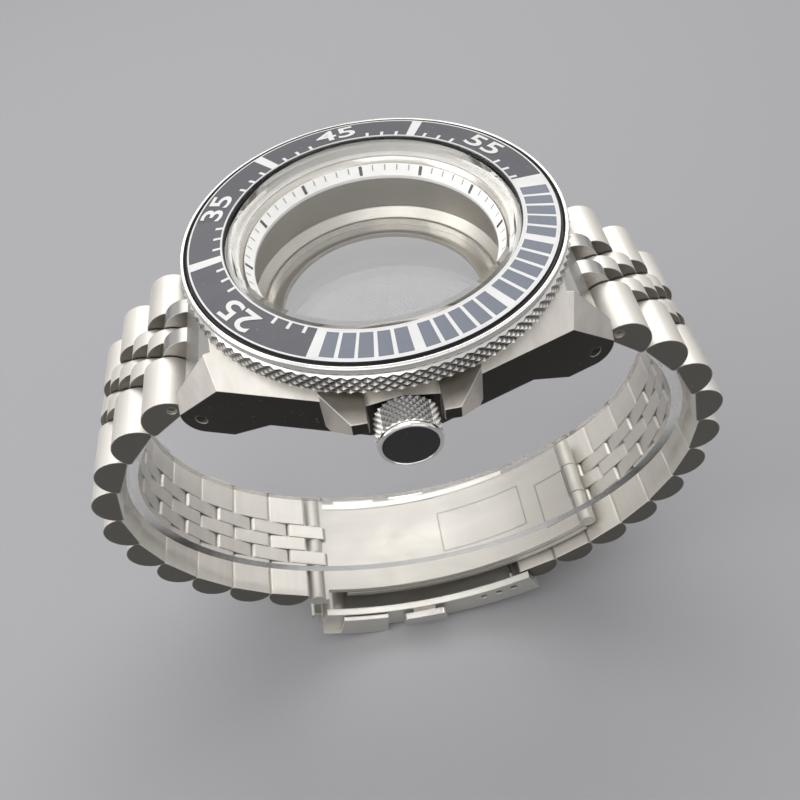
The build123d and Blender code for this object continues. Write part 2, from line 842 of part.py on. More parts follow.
with BuildPart() as clasp_inner_blade:
    with BuildSketch(Plane.XZ):
        arc_band(
            inner_blade_low,
            inner_blade_low + blade_thickness,
            inner_angle + turn_of(link_end_reach),
            fold_angle,
        )
    extrude(amount=half_blade, both=True)
    with BuildSketch(Plane.XZ):
        with Locations((inner_pin.X, inner_pin.Z)):
            Circle(link_inner_depth)
        arc_band(
            inner_blade_low,
            inner_blade_low + blade_thickness + blade_thickness / 2,
            inner_angle,
            inner_angle + turn_of(blade_end_length),
        )
    extrude(amount=clasp_end_width / 2, both=True)
    for lane in (-lane_step, lane_step):
        with BuildSketch(Plane.XZ.offset(lane)):
            with Locations((inner_pin.X, inner_pin.Z)):
                Circle(link_swing_radius + piece_gap)
        extrude(amount=centre_link_width / 2 + piece_gap, both=True, mode=Mode.SUBTRACT)
    with BuildSketch(Plane.XZ):
        with Locations((inner_pin.X, inner_pin.Z)):
            Circle(pin_hole_radius)
    extrude(amount=clasp_end_width / 2 - pin_end_sink, both=True, mode=Mode.SUBTRACT)
    with BuildSketch(Plane.XZ):
        with Locations((fold_pin.X, fold_pin.Z)):
            Circle(fold_barrel_radius)
    extrude(amount=half_blade, both=True)
    with BuildSketch(Plane.XZ):
        with Locations((fold_pin.X, fold_pin.Z)):
            Circle(fold_barrel_radius + piece_gap)
    extrude(amount=half_knuckle + piece_gap, both=True, mode=Mode.SUBTRACT)
    with BuildSketch(Plane.XZ):
        with Locations((fold_pin.X, fold_pin.Z)):
            Circle(fold_pin_radius + sliding_gap)
    extrude(amount=half_blade + overrun, both=True, mode=Mode.SUBTRACT)
save(clasp_inner_blade, "clasp_inner_blade")

with BuildPart() as clasp_blade_bar:
    with BuildSketch(Plane.XZ):
        with Locations((inner_pin.X, inner_pin.Z)):
            Circle(pin_radius)
    extrude(amount=clasp_end_width / 2 - pin_end_sink - seat_gap, both=True)
save(clasp_blade_bar, "clasp_blade_bar")

with BuildPart() as clasp_middle_blade:
    with BuildSketch(Plane.XZ):
        arc_band(
            middle_blade_low,
            middle_blade_low + blade_thickness,
            hinge_angle + turn_of(fold_barrel_radius + piece_gap),
            fold_angle - turn_of(fold_barrel_radius),
        )
    extrude(amount=half_blade, both=True)
    with BuildSketch(Plane.XZ):
        with Locations((fold_pin.X, fold_pin.Z)):
            Circle(fold_barrel_radius)
        arc_band(
            middle_blade_low - clasp_gap,
            middle_blade_low + blade_thickness,
            fold_angle - turn_of(fold_barrel_radius + piece_gap + piece_gap),
            fold_angle,
        )
    extrude(amount=half_knuckle, both=True)
    with BuildSketch(Plane.XZ):
        with Locations((cover_hinge.X, cover_hinge.Z)):
            Circle(fold_barrel_radius)
        arc_band(
            middle_blade_low + blade_thickness / 2,
            hinge_radius,
            hinge_angle - turn_of(fold_barrel_radius / 2),
            hinge_angle + turn_of(fold_barrel_radius),
        )
        arc_band(
            middle_blade_low,
            middle_blade_low + blade_thickness,
            hinge_angle - turn_of(fold_barrel_radius / 2),
            hinge_angle + turn_of(fold_barrel_radius + fold_barrel_radius),
        )
    extrude(amount=half_knuckle, both=True)
    for pin_place in (fold_pin, cover_hinge):
        with BuildSketch(Plane.XZ):
            with Locations((pin_place.X, pin_place.Z)):
                Circle(fold_pin_radius + sliding_gap)
        extrude(amount=half_blade + overrun, both=True, mode=Mode.SUBTRACT)
save(clasp_middle_blade, "clasp_middle_blade")

with BuildPart() as clasp_fold_pin:
    with BuildSketch(Plane.XZ):
        with Locations((fold_pin.X, fold_pin.Z)):
            Circle(fold_pin_radius)
    extrude(amount=half_blade, both=True)
save(clasp_fold_pin, "clasp_fold_pin")

cover_half_inner = clasp_end_width / 2 + clasp_gap
cover_half_outer = cover_half_inner + cover_wall
button_angle = cover_start + (cover_end - cover_start) * button_place_share
lock_low = cover_low + cover_base + sliding_gap
lock_pivot_angle = cover_start - turn_of(lock_pivot_out)
lock_pivot = arc_point(lock_low + lock_thickness / 2, lock_pivot_angle)
cover_bar = right_pins[-1]
bar_radius = (cover_bar - arc_centre).length
bar_angle = arc_angle(cover_bar)
with BuildPart() as clasp_cover:
    with BuildSketch(Plane.XZ):
        arc_band(cover_low - cover_wall_height, cover_low + cover_base, cover_start, cover_end)
    extrude(amount=cover_half_outer, both=True)
    with BuildSketch(Plane.XZ):
        arc_band(
            cover_low - cover_wall_height - overrun,
            cover_low,
            cover_start - turn_of(overrun),
            cover_end + turn_of(overrun),
        )
    extrude(amount=cover_half_inner, both=True, mode=Mode.SUBTRACT)
    with BuildSketch(Plane.XZ):
        with Locations((cover_hinge.X, cover_hinge.Z)):
            Circle(fold_barrel_radius)
        arc_band(
            hinge_radius,
            cover_low + cover_base / 2,
            hinge_angle - turn_of(fold_barrel_radius),
            hinge_angle + turn_of(fold_barrel_radius),
        )
    extrude(amount=cover_half_inner + cover_wall / 2, both=True)
    with BuildSketch(Plane.XZ):
        with Locations((cover_hinge.X, cover_hinge.Z)):
            Circle(fold_barrel_radius + body_gap)
        arc_band(
            cover_low - cover_wall_height - overrun,
            cover_low,
            hinge_angle - turn_of(fold_barrel_radius + body_gap),
            hinge_angle + turn_of(fold_barrel_radius + body_gap),
        )
    extrude(amount=half_knuckle + piece_gap, both=True, mode=Mode.SUBTRACT)
    with BuildSketch(Plane.XZ):
        with Locations((cover_hinge.X, cover_hinge.Z)):
            Circle(fold_pin_radius + sliding_gap)
    extrude(amount=cover_half_inner - cover_wall, both=True, mode=Mode.SUBTRACT)
    with BuildSketch(Plane.XZ):
        for step in range(cover_hole_count):
            with Locations(arc_point(bar_radius, bar_angle - turn_of(cover_hole_step * step))):
                Circle(clasp_bar_hole_radius)
    extrude(amount=cover_half_outer + overrun, both=True, mode=Mode.SUBTRACT)
    with BuildSketch(Plane.XZ):
        arc_band(
            cover_low - button_rise - button_stem_height / 2 - running_gap,
            cover_low - button_rise + button_stem_height / 2 + running_gap,
            button_angle - turn_of(button_stem_length / 2 + running_gap),
            button_angle + turn_of(button_stem_length / 2 + running_gap),
        )
    extrude(amount=cover_half_outer + overrun, both=True, mode=Mode.SUBTRACT)
    with BuildSketch(Plane.XZ):
        arc_band(
            cover_low - overrun,
            cover_low + cover_base + overrun,
            cover_start - turn_of(overrun),
            hinge_angle,
        )
    extrude(amount=half_knuckle + piece_gap, both=True, mode=Mode.SUBTRACT)
    knuckle_start = lock_barrel_half_width + piece_gap
    for side in (1, -1):
        with BuildSketch(Plane.XZ.offset(side * knuckle_start)):
            with Locations(lock_pivot):
                Circle(lock_barrel_radius)
            arc_band(
                cover_low + cover_base / 2,
                cover_low + cover_base,
                lock_pivot_angle - turn_of(lock_pin_radius),
                cover_start + turn_of(piece_gap),
            )
        extrude(amount=side * lock_knuckle_width)
    with BuildSketch(Plane.XZ):
        with Locations(lock_pivot):
            Circle(lock_pin_radius + sliding_gap)
    extrude(amount=knuckle_start + lock_knuckle_width, both=True, mode=Mode.SUBTRACT)
save(clasp_cover, "clasp_cover")

with BuildPart() as clasp_cover_pin:
    with BuildSketch(Plane.XZ):
        with Locations((cover_hinge.X, cover_hinge.Z)):
            Circle(fold_pin_radius)
    extrude(amount=cover_half_inner - cover_wall - seat_gap, both=True)
save(clasp_cover_pin, "clasp_cover_pin")

with BuildPart() as clasp_cover_bar:
    with BuildSketch(Plane.XZ):
        with Locations((cover_bar.X, cover_bar.Z)):
            Circle(pin_radius)
    extrude(amount=cover_half_inner - sliding_gap, both=True)
save(clasp_cover_bar, "clasp_cover_bar")

button_radius = cover_low - button_rise
button_turn = turn_of(button_length / 2)
stem_turn = turn_of(button_stem_length / 2)
for side, side_name in ((-1, "front"), (1, "back")):
    with BuildPart() as button:
        with BuildSketch(Plane.XZ.offset(-side * (cover_half_outer + button_travel + sliding_gap))):
            arc_band(
                button_radius - button_height / 2,
                button_radius + button_height / 2,
                button_angle - button_turn,
                button_angle + button_turn,
            )
        extrude(amount=-side * button_reach)
        fillet(button.edges().filter_by(Axis.Y), button_height / 4)
        with BuildSketch(Plane.XZ.offset(-side * (cover_half_inner - button_travel))):
            arc_band(
                button_radius - button_stem_height / 2,
                button_radius + button_stem_height / 2,
                button_angle - stem_turn,
                button_angle + stem_turn,
            )
        extrude(amount=-side * (cover_wall + button_travel + button_travel + sliding_gap))
    save(button, f"clasp_button_{side_name}")

lock_end = cover_start + turn_of(lock_length)
lock_half_width = cover_half_outer + piece_gap + lock_ear_wall
with BuildPart() as clasp_lock:
    with BuildSketch(Plane.XZ):
        arc_band(lock_low, lock_low + lock_thickness, cover_start + turn_of(piece_gap), lock_end)
    extrude(amount=lock_half_width, both=True)
    with BuildSketch(Plane.XZ):
        with Locations(lock_pivot):
            Circle(lock_barrel_radius)
        arc_band(
            lock_low,
            lock_low + lock_thickness,
            lock_pivot_angle,
            cover_start + turn_of(lock_ear_inset),
        )
    extrude(amount=lock_barrel_half_width, both=True)
    for side in (1, -1):
        with BuildSketch(Plane.XZ.offset(side * (cover_half_outer + piece_gap))):
            arc_band(
                cover_low - lock_ear_height,
                lock_low + lock_thickness,
                cover_start + turn_of(lock_ear_inset),
                lock_end,
            )
        extrude(amount=side * lock_ear_wall)
    with BuildSketch(Plane.XZ):
        with Locations(lock_pivot):
            Circle(lock_pin_radius + sliding_gap)
    extrude(amount=lock_barrel_half_width, both=True, mode=Mode.SUBTRACT)
save(clasp_lock, "clasp_lock")

with BuildPart() as clasp_lock_pin:
    with BuildSketch(Plane.XZ):
        with Locations(lock_pivot):
            Circle(lock_pin_radius)
    extrude(amount=lock_barrel_half_width + piece_gap + lock_knuckle_width - seat_gap, both=True)
save(clasp_lock_pin, "clasp_lock_pin")

# Clear former

former_half_width = loop_half_width - link_inner_depth - former_gap
former_rise = loop_rise - link_inner_depth - former_gap
former_depth = pitch * former_depth_share


def former_edge(inset):
    """Edge of the former, drawn as three joined arcs from its left end to its right end."""
    centre = (0, loop_centre_z)
    reach = former_half_width - inset
    rise = former_rise - inset
    upper = former_start_angle
    left = EllipticalCenterArc(centre, reach, rise, half_turn - upper, arc_size=upper)
    EllipticalCenterArc(centre, reach, former_depth - inset, half_turn, arc_size=half_turn)
    right = EllipticalCenterArc(centre, reach, rise, 0, arc_size=upper)
    return left @ 0, right @ 1


with BuildPart() as clear_former:
    with BuildSketch(Plane.XZ):
        with BuildLine():
            outer_ends = former_edge(0)
            inner_ends = former_edge(former_wall)
            Line(outer_ends[0], inner_ends[0])
            Line(outer_ends[1], inner_ends[1])
        make_face()
    extrude(amount=former_width / 2, both=True)
save(clear_former, "clear_former")
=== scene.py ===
import math
import bmesh
import bpy
from mathutils import Matrix, Vector


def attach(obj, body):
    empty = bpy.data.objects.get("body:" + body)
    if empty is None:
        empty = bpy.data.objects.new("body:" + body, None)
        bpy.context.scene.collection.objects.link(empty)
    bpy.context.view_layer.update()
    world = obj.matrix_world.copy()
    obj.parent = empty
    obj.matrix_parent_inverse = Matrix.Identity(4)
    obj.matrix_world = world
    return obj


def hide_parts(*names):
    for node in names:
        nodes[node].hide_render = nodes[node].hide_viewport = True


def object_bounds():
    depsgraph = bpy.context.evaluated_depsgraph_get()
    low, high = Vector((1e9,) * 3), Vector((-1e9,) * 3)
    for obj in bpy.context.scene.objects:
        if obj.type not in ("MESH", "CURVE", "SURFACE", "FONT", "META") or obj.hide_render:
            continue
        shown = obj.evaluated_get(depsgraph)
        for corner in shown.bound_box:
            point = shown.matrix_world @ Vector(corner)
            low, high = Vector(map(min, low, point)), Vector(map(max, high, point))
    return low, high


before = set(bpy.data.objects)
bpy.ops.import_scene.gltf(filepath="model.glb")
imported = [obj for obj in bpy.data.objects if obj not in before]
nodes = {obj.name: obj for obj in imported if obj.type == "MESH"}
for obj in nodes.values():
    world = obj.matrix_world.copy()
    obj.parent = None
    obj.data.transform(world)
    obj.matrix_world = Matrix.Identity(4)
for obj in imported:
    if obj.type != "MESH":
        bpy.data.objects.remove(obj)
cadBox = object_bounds()
mm = 0.001

# twelve o'clock points to +X and the crown to -Y
# sizes in the dictionaries are in mm unless a note says metres
camera = {
    "place": (-1.549, -74.924, 63.327),
    "right": (0.98534, -0.13871, -0.09932),
    "up": (0.16996, 0.74790, 0.64169),
    "back": (-0.01473, -0.64916, 0.76051),
    "lens": 38.25,
    "sensor": 36,
    "nearest": 5,
    "farthest": 20000,
}

# in metres
floorLook = {
    "size": 16,
    "cuts": 3,
    "color": (0.475, 0.475, 0.488, 1),
    "rough": 0.8,
    "toothScale": 900,
    "toothStrength": 0.02,
    "toothDepth": 0.0002,
}

light = {
    "backdrop": (0.78, 0.78, 0.79, 1),  # what the camera, mirrors and glass see of the room
    "fill": (0.34, 0.34, 0.35, 1),      # what the room gives to matt surfaces
    # place and aim in metres, width, depth, power
    "lamps": {
        "keySoftbox": ((0.03, 0.26, 0.36), (0, 0, -0.02), 0.5, 0.36, 1.08),
        "leftSoftbox": ((-0.42, -0.05, 0.22), (0, 0, -0.03), 0.3, 0.4, 0.62),
        "frontCard": ((0.2, -0.42, 0.12), (0, 0, -0.05), 0.3, 0.2, 0.1),
        "overheadCard": ((-0.1, -0.2, 0.38), (0, -0.02, -0.02), 0.3, 0.3, 0.32),
    },
}


def clearSelection():
    if bpy.context.object and bpy.context.object.mode != "OBJECT":
        bpy.ops.object.mode_set(mode="OBJECT")
    bpy.ops.object.select_all(action="DESELECT")


def pickOnly(piece):
    clearSelection()
    piece.select_set(True)
    bpy.context.view_layer.objects.active = piece


def settle(piece):
    # puts the object's place into its mesh
    pickOnly(piece)
    bpy.ops.object.transform_apply(location=True, rotation=True, scale=True)


def openEdit(piece):
    pickOnly(piece)
    bpy.ops.object.mode_set(mode="EDIT")
    bpy.ops.mesh.select_mode(type="VERT")
    bpy.ops.mesh.select_all(action="DESELECT")


def pickVerts(piece, test):
    mesh = bmesh.from_edit_mesh(piece.data)
    for vert in mesh.verts:
        vert.select = bool(test(vert.co))
    mesh.select_flush(True)
    bmesh.update_edit_mesh(piece.data)


def pickFaces(piece, test):
    bpy.ops.mesh.select_mode(type="FACE")
    mesh = bmesh.from_edit_mesh(piece.data)
    for face in mesh.faces:
        face.select = bool(test(face.calc_center_median()))
    mesh.select_flush(True)
    bmesh.update_edit_mesh(piece.data)


def turnedShape(name, profile, segments):
    # sweeps a ring from one radius and height of the profile to the next, and stays in edit mode
    clearSelection()
    radius, height = profile[0]
    bpy.ops.mesh.primitive_circle_add(
        vertices=segments, radius=radius * mm, fill_type="NOTHING", location=(0, 0, height * mm)
    )
    piece = bpy.context.object
    piece.name = name
    piece.data.name = name
    bpy.ops.object.transform_apply(location=True, rotation=True, scale=True)
    bpy.ops.object.mode_set(mode="EDIT")
    bpy.ops.mesh.select_all(action="SELECT")
    for nextRadius, nextHeight in profile[1:]:
        rise = (nextHeight - height) * mm
        bpy.ops.mesh.extrude_region_move(TRANSFORM_OT_translate={"value": (0, 0, rise)})
        grow = nextRadius / radius
        bpy.ops.transform.resize(value=(grow, grow, 1), center_override=(0, 0, nextHeight * mm))
        radius, height = nextRadius, nextHeight
    return piece


closing = {"mergeWithin": 0.002, "smoothAngle": 30}


def closeShape(smoothAngle=closing["smoothAngle"]):
    # merges the seams of the piece in edit mode, turns its faces outward and leaves edit mode
    bpy.ops.mesh.select_mode(type="VERT")
    bpy.ops.mesh.select_all(action="SELECT")
    bpy.ops.mesh.remove_doubles(threshold=closing["mergeWithin"] * mm)
    bpy.ops.mesh.select_all(action="SELECT")
    bpy.ops.mesh.normals_make_consistent(inside=False)
    bpy.ops.object.mode_set(mode="OBJECT")
    bpy.ops.object.shade_smooth_by_angle(angle=math.radians(smoothAngle))


# shares of the knurl's radius: points inside coreShare stay, faces beyond bandShare are split
knurl = {"levelWithin": 0.02, "coreShare": 0.6, "bandShare": 0.9, "smoothAngle": 22}


def cutKnurl(piece, shape):
    # every second point of the knurl's rings goes in, which leaves rows of diamonds
    radius, levels, columns = shape["radius"] * mm, shape["levels"], shape["columns"]
    share = 1 - shape["depth"] / shape["radius"]
    openEdit(piece)
    for index, level in enumerate(levels):
        def goesIn(place, index=index, level=level):
            if abs(place.z - level * mm) > knurl["levelWithin"] * mm:
                return False
            if place.xy.length < knurl["coreShare"] * radius:
                return False
            column = round(math.atan2(place.y, place.x) / (2 * math.pi) * columns)
            return (column + index) % 2 == 1
        pickVerts(piece, goesIn)
        bpy.ops.transform.resize(value=(share, share, 1), center_override=(0, 0, level * mm))
    low, high = levels[0] * mm, levels[-1] * mm
    reach = knurl["bandShare"] * radius
    pickFaces(piece, lambda place: low < place.z < high and place.xy.length > reach)
    bpy.ops.mesh.quads_convert_to_tris(quad_method="SHORTEST_DIAGONAL")
    closeShape(knurl["smoothAngle"])


def wear(piece, body, finish):
    # finish, body and material slot of a new piece
    piece.data.materials.clear()
    piece.data.materials.append(finish)
    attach(piece, body)


def addNode(tree, kind, **values):
    # a shader node with some of its inputs set, From_Min stands for the input From Min
    node = tree.nodes.new(kind)
    for label, value in values.items():
        node.inputs[label.replace("_", " ")].default_value = value
    return node


def feed(tree, socket, value):
    # links another node's output to an input, or sets the input to a plain value
    if isinstance(value, bpy.types.NodeSocket):
        tree.links.new(value, socket)
    else:
        socket.default_value = value


def addMath(tree, operation, *values):
    # the result of a math node, whose inputs are numbers or the outputs of other nodes
    node = tree.nodes.new("ShaderNodeMath")
    node.operation = operation
    for socket, value in zip(node.inputs, values):
        feed(tree, socket, value)
    return node.outputs[0]


def addBump(tree, height, strength, distance, normal=None):
    # distance in metres
    bump = addNode(tree, "ShaderNodeBump", Strength=strength, Distance=distance)
    tree.links.new(height, bump.inputs["Height"])
    if normal is not None:
        tree.links.new(normal, bump.inputs["Normal"])
    return bump.outputs["Normal"]


def startFinish(name):
    finish = bpy.data.materials.new(name)
    finish.use_nodes = True
    tree = finish.node_tree
    return finish, tree, tree.nodes["Principled BSDF"]


def setCamera():
    data = bpy.data.cameras.new("photoCamera")
    data.lens = camera["lens"]
    data.sensor_width = camera["sensor"]
    data.clip_start = camera["nearest"] * mm
    data.clip_end = camera["farthest"] * mm
    view = bpy.data.objects.new("photoCamera", data)
    bpy.context.collection.objects.link(view)
    turn = Matrix((camera["right"], camera["up"], camera["back"])).transposed()
    view.matrix_world = Matrix.Translation(Vector(camera["place"]) * mm) @ turn.to_4x4()
    bpy.context.scene.camera = view


def setFloor():
    clearSelection()
    bpy.ops.mesh.primitive_plane_add(size=floorLook["size"], location=(0, 0, cadBox[0][2]))
    floor = bpy.context.object
    floor.name = "paperFloor"
    settle(floor)
    bpy.ops.object.mode_set(mode="EDIT")
    bpy.ops.mesh.select_all(action="SELECT")
    bpy.ops.mesh.subdivide(number_cuts=floorLook["cuts"])
    bpy.ops.object.mode_set(mode="OBJECT")
    finish, tree, shader = startFinish("paleFloor")
    coord = addNode(tree, "ShaderNodeTexCoord")
    tooth = addNode(tree, "ShaderNodeTexNoise", Scale=floorLook["toothScale"])
    tree.links.new(coord.outputs["Object"], tooth.inputs["Vector"])
    normal = addBump(tree, tooth.outputs["Fac"], floorLook["toothStrength"], floorLook["toothDepth"])
    tree.links.new(normal, shader.inputs["Normal"])
    shader.inputs["Base Color"].default_value = floorLook["color"]
    shader.inputs["Roughness"].default_value = floorLook["rough"]
    floor.data.materials.append(finish)


def addLamp(name, place, aim, width, depth, power):
    data = bpy.data.lights.new(name, "AREA")
    data.shape = "RECTANGLE"
    data.size = width
    data.size_y = depth
    data.energy = power
    lamp = bpy.data.objects.new(name, data)
    bpy.context.collection.objects.link(lamp)
    lamp.location = place
    lamp.rotation_euler = (Vector(aim) - Vector(place)).to_track_quat("-Z", "Y").to_euler()


def setLight():
    world = bpy.data.worlds.new("studio")
    bpy.context.scene.world = world
    world.use_nodes = True
    tree = world.node_tree
    tree.nodes.clear()
    output = addNode(tree, "ShaderNodeOutputWorld")
    shown = addNode(tree, "ShaderNodeBackground", Color=light["backdrop"])
    fill = addNode(tree, "ShaderNodeBackground", Color=light["fill"])
    path = addNode(tree, "ShaderNodeLightPath")
    seen = addMath(tree, "MAXIMUM", path.outputs["Is Camera Ray"], path.outputs["Is Glossy Ray"])
    seen = addMath(tree, "MAXIMUM", seen, path.outputs["Is Transmission Ray"])
    mix = addNode(tree, "ShaderNodeMixShader")
    tree.links.new(seen, mix.inputs["Fac"])
    tree.links.new(fill.outputs[0], mix.inputs[1])
    tree.links.new(shown.outputs[0], mix.inputs[2])
    tree.links.new(mix.outputs[0], output.inputs["Surface"])
    for name, lamp in light["lamps"].items():
        addLamp(name, *lamp)
    bpy.context.scene.view_settings.view_transform = "Standard"


def startGroup(name, inputs, outputs):
    # a shader effect with named inputs and outputs, for more than one finish
    group = bpy.data.node_groups.new(name, "ShaderNodeTree")
    for label, kind, value in inputs:
        socket = group.interface.new_socket(name=label, in_out="INPUT", socket_type=kind)
        if value is not None:
            socket.default_value = value
    for label, kind in outputs:
        group.interface.new_socket(name=label, in_out="OUTPUT", socket_type=kind)
    return group, group.nodes.new("NodeGroupInput"), group.nodes.new("NodeGroupOutput")


def addReach(tree, split):
    # distance from the Z axis, of a place that is split into X, Y and Z
    flat = addNode(tree, "ShaderNodeCombineXYZ")
    length = addNode(tree, "ShaderNodeVectorMath")
    length.operation = "LENGTH"
    tree.links.new(split.outputs["X"], flat.inputs["X"])
    tree.links.new(split.outputs["Y"], flat.inputs["Y"])
    tree.links.new(flat.outputs[0], length.inputs[0])
    return length.outputs["Value"]


def makeEdgeWear():
    # rounded normal near an edge, and a mask of the rubbed edge itself
    group, into, out = startGroup(
        "edgeWear",
        [
            ("Vector", "NodeSocketVector", None),
            ("Size", "NodeSocketFloat", 0.0002),
            ("Amount", "NodeSocketFloat", 4.0),
            ("Breakup", "NodeSocketFloat", 700.0),
        ],
        [("Edge", "NodeSocketFloat"), ("Normal", "NodeSocketVector")],
    )
    link = group.links.new
    bevel = addNode(group, "ShaderNodeBevel")
    bevel.samples = 4
    geometry = addNode(group, "ShaderNodeNewGeometry")
    alike = addNode(group, "ShaderNodeVectorMath")
    alike.operation = "DOT_PRODUCT"
    noise = addNode(group, "ShaderNodeTexNoise", Detail=3)
    patch = addNode(group, "ShaderNodeMapRange", From_Min=0.3, From_Max=0.6, To_Min=0.35)
    link(into.outputs["Size"], bevel.inputs["Radius"])
    link(bevel.outputs["Normal"], alike.inputs[0])
    link(geometry.outputs["Normal"], alike.inputs[1])
    link(into.outputs["Vector"], noise.inputs["Vector"])
    link(into.outputs["Breakup"], noise.inputs["Scale"])
    link(noise.outputs["Fac"], patch.inputs["Value"])
    turned = addMath(group, "SUBTRACT", 1, alike.outputs["Value"])
    rubbed = addMath(group, "MULTIPLY", turned, into.outputs["Amount"])
    worn = addMath(group, "MULTIPLY", rubbed, patch.outputs["Result"])
    worn.node.use_clamp = True
    link(worn, out.inputs["Edge"])
    link(bevel.outputs["Normal"], out.inputs["Normal"])
    return group


def makeBrushedGrain():
    # long fine lines: Stretch is how many of them fit in a metre each way
    group, into, out = startGroup(
        "brushedGrain",
        [
            ("Vector", "NodeSocketVector", None),
            ("Stretch", "NodeSocketVector", (100, 4000, 4000)),
            ("Contrast", "NodeSocketFloat", 0.5),
        ],
        [("Grain", "NodeSocketFloat"), ("Streak", "NodeSocketFloat")],
    )
    link = group.links.new
    scale = addNode(group, "ShaderNodeVectorMath")
    scale.operation = "MULTIPLY"
    fine = addNode(group, "ShaderNodeTexNoise", Scale=1, Detail=4, Roughness=0.7)
    wide = addNode(group, "ShaderNodeTexNoise", Scale=0.18, Detail=2)
    spread = addNode(group, "ShaderNodeMapRange", From_Min=0.3, From_Max=0.7)
    link(into.outputs["Vector"], scale.inputs[0])
    link(into.outputs["Stretch"], scale.inputs[1])
    link(scale.outputs[0], fine.inputs["Vector"])
    link(scale.outputs[0], wide.inputs["Vector"])
    link(fine.outputs["Fac"], spread.inputs["Value"])
    grain = addMath(group, "MULTIPLY", spread.outputs["Result"], into.outputs["Contrast"])
    link(grain, out.inputs["Grain"])
    link(wide.outputs["Fac"], out.inputs["Streak"])
    return group


def makeTurnedGrain():
    # fine circles round the Z axis of the incoming place
    group, into, out = startGroup(
        "turnedGrain",
        [
            ("Vector", "NodeSocketVector", None),
            ("Rings", "NodeSocketFloat", 6000.0),
            ("Contrast", "NodeSocketFloat", 0.5),
        ],
        [("Grain", "NodeSocketFloat"), ("Streak", "NodeSocketFloat")],
    )
    link = group.links.new
    split = addNode(group, "ShaderNodeSeparateXYZ")
    link(into.outputs["Vector"], split.inputs[0])
    outward = addMath(group, "MULTIPLY", addReach(group, split), into.outputs["Rings"])
    upward = addMath(group, "MULTIPLY", split.outputs["Z"], into.outputs["Rings"])
    join = addNode(group, "ShaderNodeCombineXYZ")
    fine = addNode(group, "ShaderNodeTexNoise", Scale=1, Detail=3)
    wide = addNode(group, "ShaderNodeTexNoise", Scale=0.12)
    link(outward, join.inputs["X"])
    link(upward, join.inputs["Y"])
    link(join.outputs[0], fine.inputs["Vector"])
    link(join.outputs[0], wide.inputs["Vector"])
    grain = addMath(group, "MULTIPLY", fine.outputs["Fac"], into.outputs["Contrast"])
    link(grain, out.inputs["Grain"])
    link(wide.outputs["Fac"], out.inputs["Streak"])
    return group


def makeHandling():
    # faint smears from fingers, and a few specks of dust
    group, into, out = startGroup(
        "handling",
        [
            ("Vector", "NodeSocketVector", None),
            ("Smear Size", "NodeSocketFloat", 140.0),
            ("Speck Size", "NodeSocketFloat", 2600.0),
        ],
        [("Smear", "NodeSocketFloat"), ("Dust", "NodeSocketFloat")],
    )
    link = group.links.new
    smear = addNode(group, "ShaderNodeTexNoise", Detail=5, Distortion=0.6)
    soft = addNode(group, "ShaderNodeMapRange", From_Min=0.35, From_Max=0.7)
    speck = addNode(group, "ShaderNodeTexNoise", Detail=1)
    few = addNode(group, "ShaderNodeMapRange", From_Min=0.72, From_Max=0.78)
    link(into.outputs["Vector"], smear.inputs["Vector"])
    link(into.outputs["Smear Size"], smear.inputs["Scale"])
    link(smear.outputs["Fac"], soft.inputs["Value"])
    link(soft.outputs["Result"], out.inputs["Smear"])
    link(into.outputs["Vector"], speck.inputs["Vector"])
    link(into.outputs["Speck Size"], speck.inputs["Scale"])
    link(speck.outputs["Fac"], few.inputs["Value"])
    link(few.outputs["Result"], out.inputs["Dust"])
    return group


def makeFacing():
    # mask of a painted dark reflection: how far a surface looks to the crown's side, alone and where it
    # is also steep
    group, into, out = startGroup(
        "paintedReflectionMask",
        [("Normal", "NodeSocketVector", None)],
        [("Side", "NodeSocketFloat"), ("Flank", "NodeSocketFloat")],
    )
    link = group.links.new
    split = addNode(group, "ShaderNodeSeparateXYZ")
    link(into.outputs["Normal"], split.inputs[0])
    crownWards = addMath(group, "MULTIPLY", split.outputs["Y"], -1)
    narrow = addNode(group, "ShaderNodeMapRange", From_Min=0.86, From_Max=0.97)
    wide = addNode(group, "ShaderNodeMapRange", From_Min=0.72, From_Max=0.84)
    steep = addNode(group, "ShaderNodeMapRange", From_Min=0.42, From_Max=0.2)
    link(crownWards, narrow.inputs["Value"])
    link(crownWards, wide.inputs["Value"])
    link(split.outputs["Z"], steep.inputs["Value"])
    both = addMath(group, "MULTIPLY", steep.outputs["Result"], wide.outputs["Result"])
    link(narrow.outputs["Result"], out.inputs["Side"])
    link(both, out.inputs["Flank"])
    return group


def makeValley():
    # mask of painted shade: 1 nearer to the Z axis than Low and 0 beyond High, as in the valleys between
    # a knurl's crests
    group, into, out = startGroup(
        "paintedShade",
        [
            ("Vector", "NodeSocketVector", None),
            ("Low", "NodeSocketFloat", 0.0212),
            ("High", "NodeSocketFloat", 0.0215),
        ],
        [("Depth", "NodeSocketFloat")],
    )
    link = group.links.new
    split = addNode(group, "ShaderNodeSeparateXYZ")
    link(into.outputs["Vector"], split.inputs[0])
    depth = addNode(group, "ShaderNodeMapRange", To_Min=1, To_Max=0)
    link(addReach(group, split), depth.inputs["Value"])
    link(into.outputs["Low"], depth.inputs["From Min"])
    link(into.outputs["High"], depth.inputs["From Max"])
    link(depth.outputs["Result"], out.inputs["Depth"])
    return group


# in metres: length of one degree of the bend, and the half width of a line, faded and full
frameLine = {"degreeLength": 0.00074, "faded": 0.00016, "full": 0.00008}


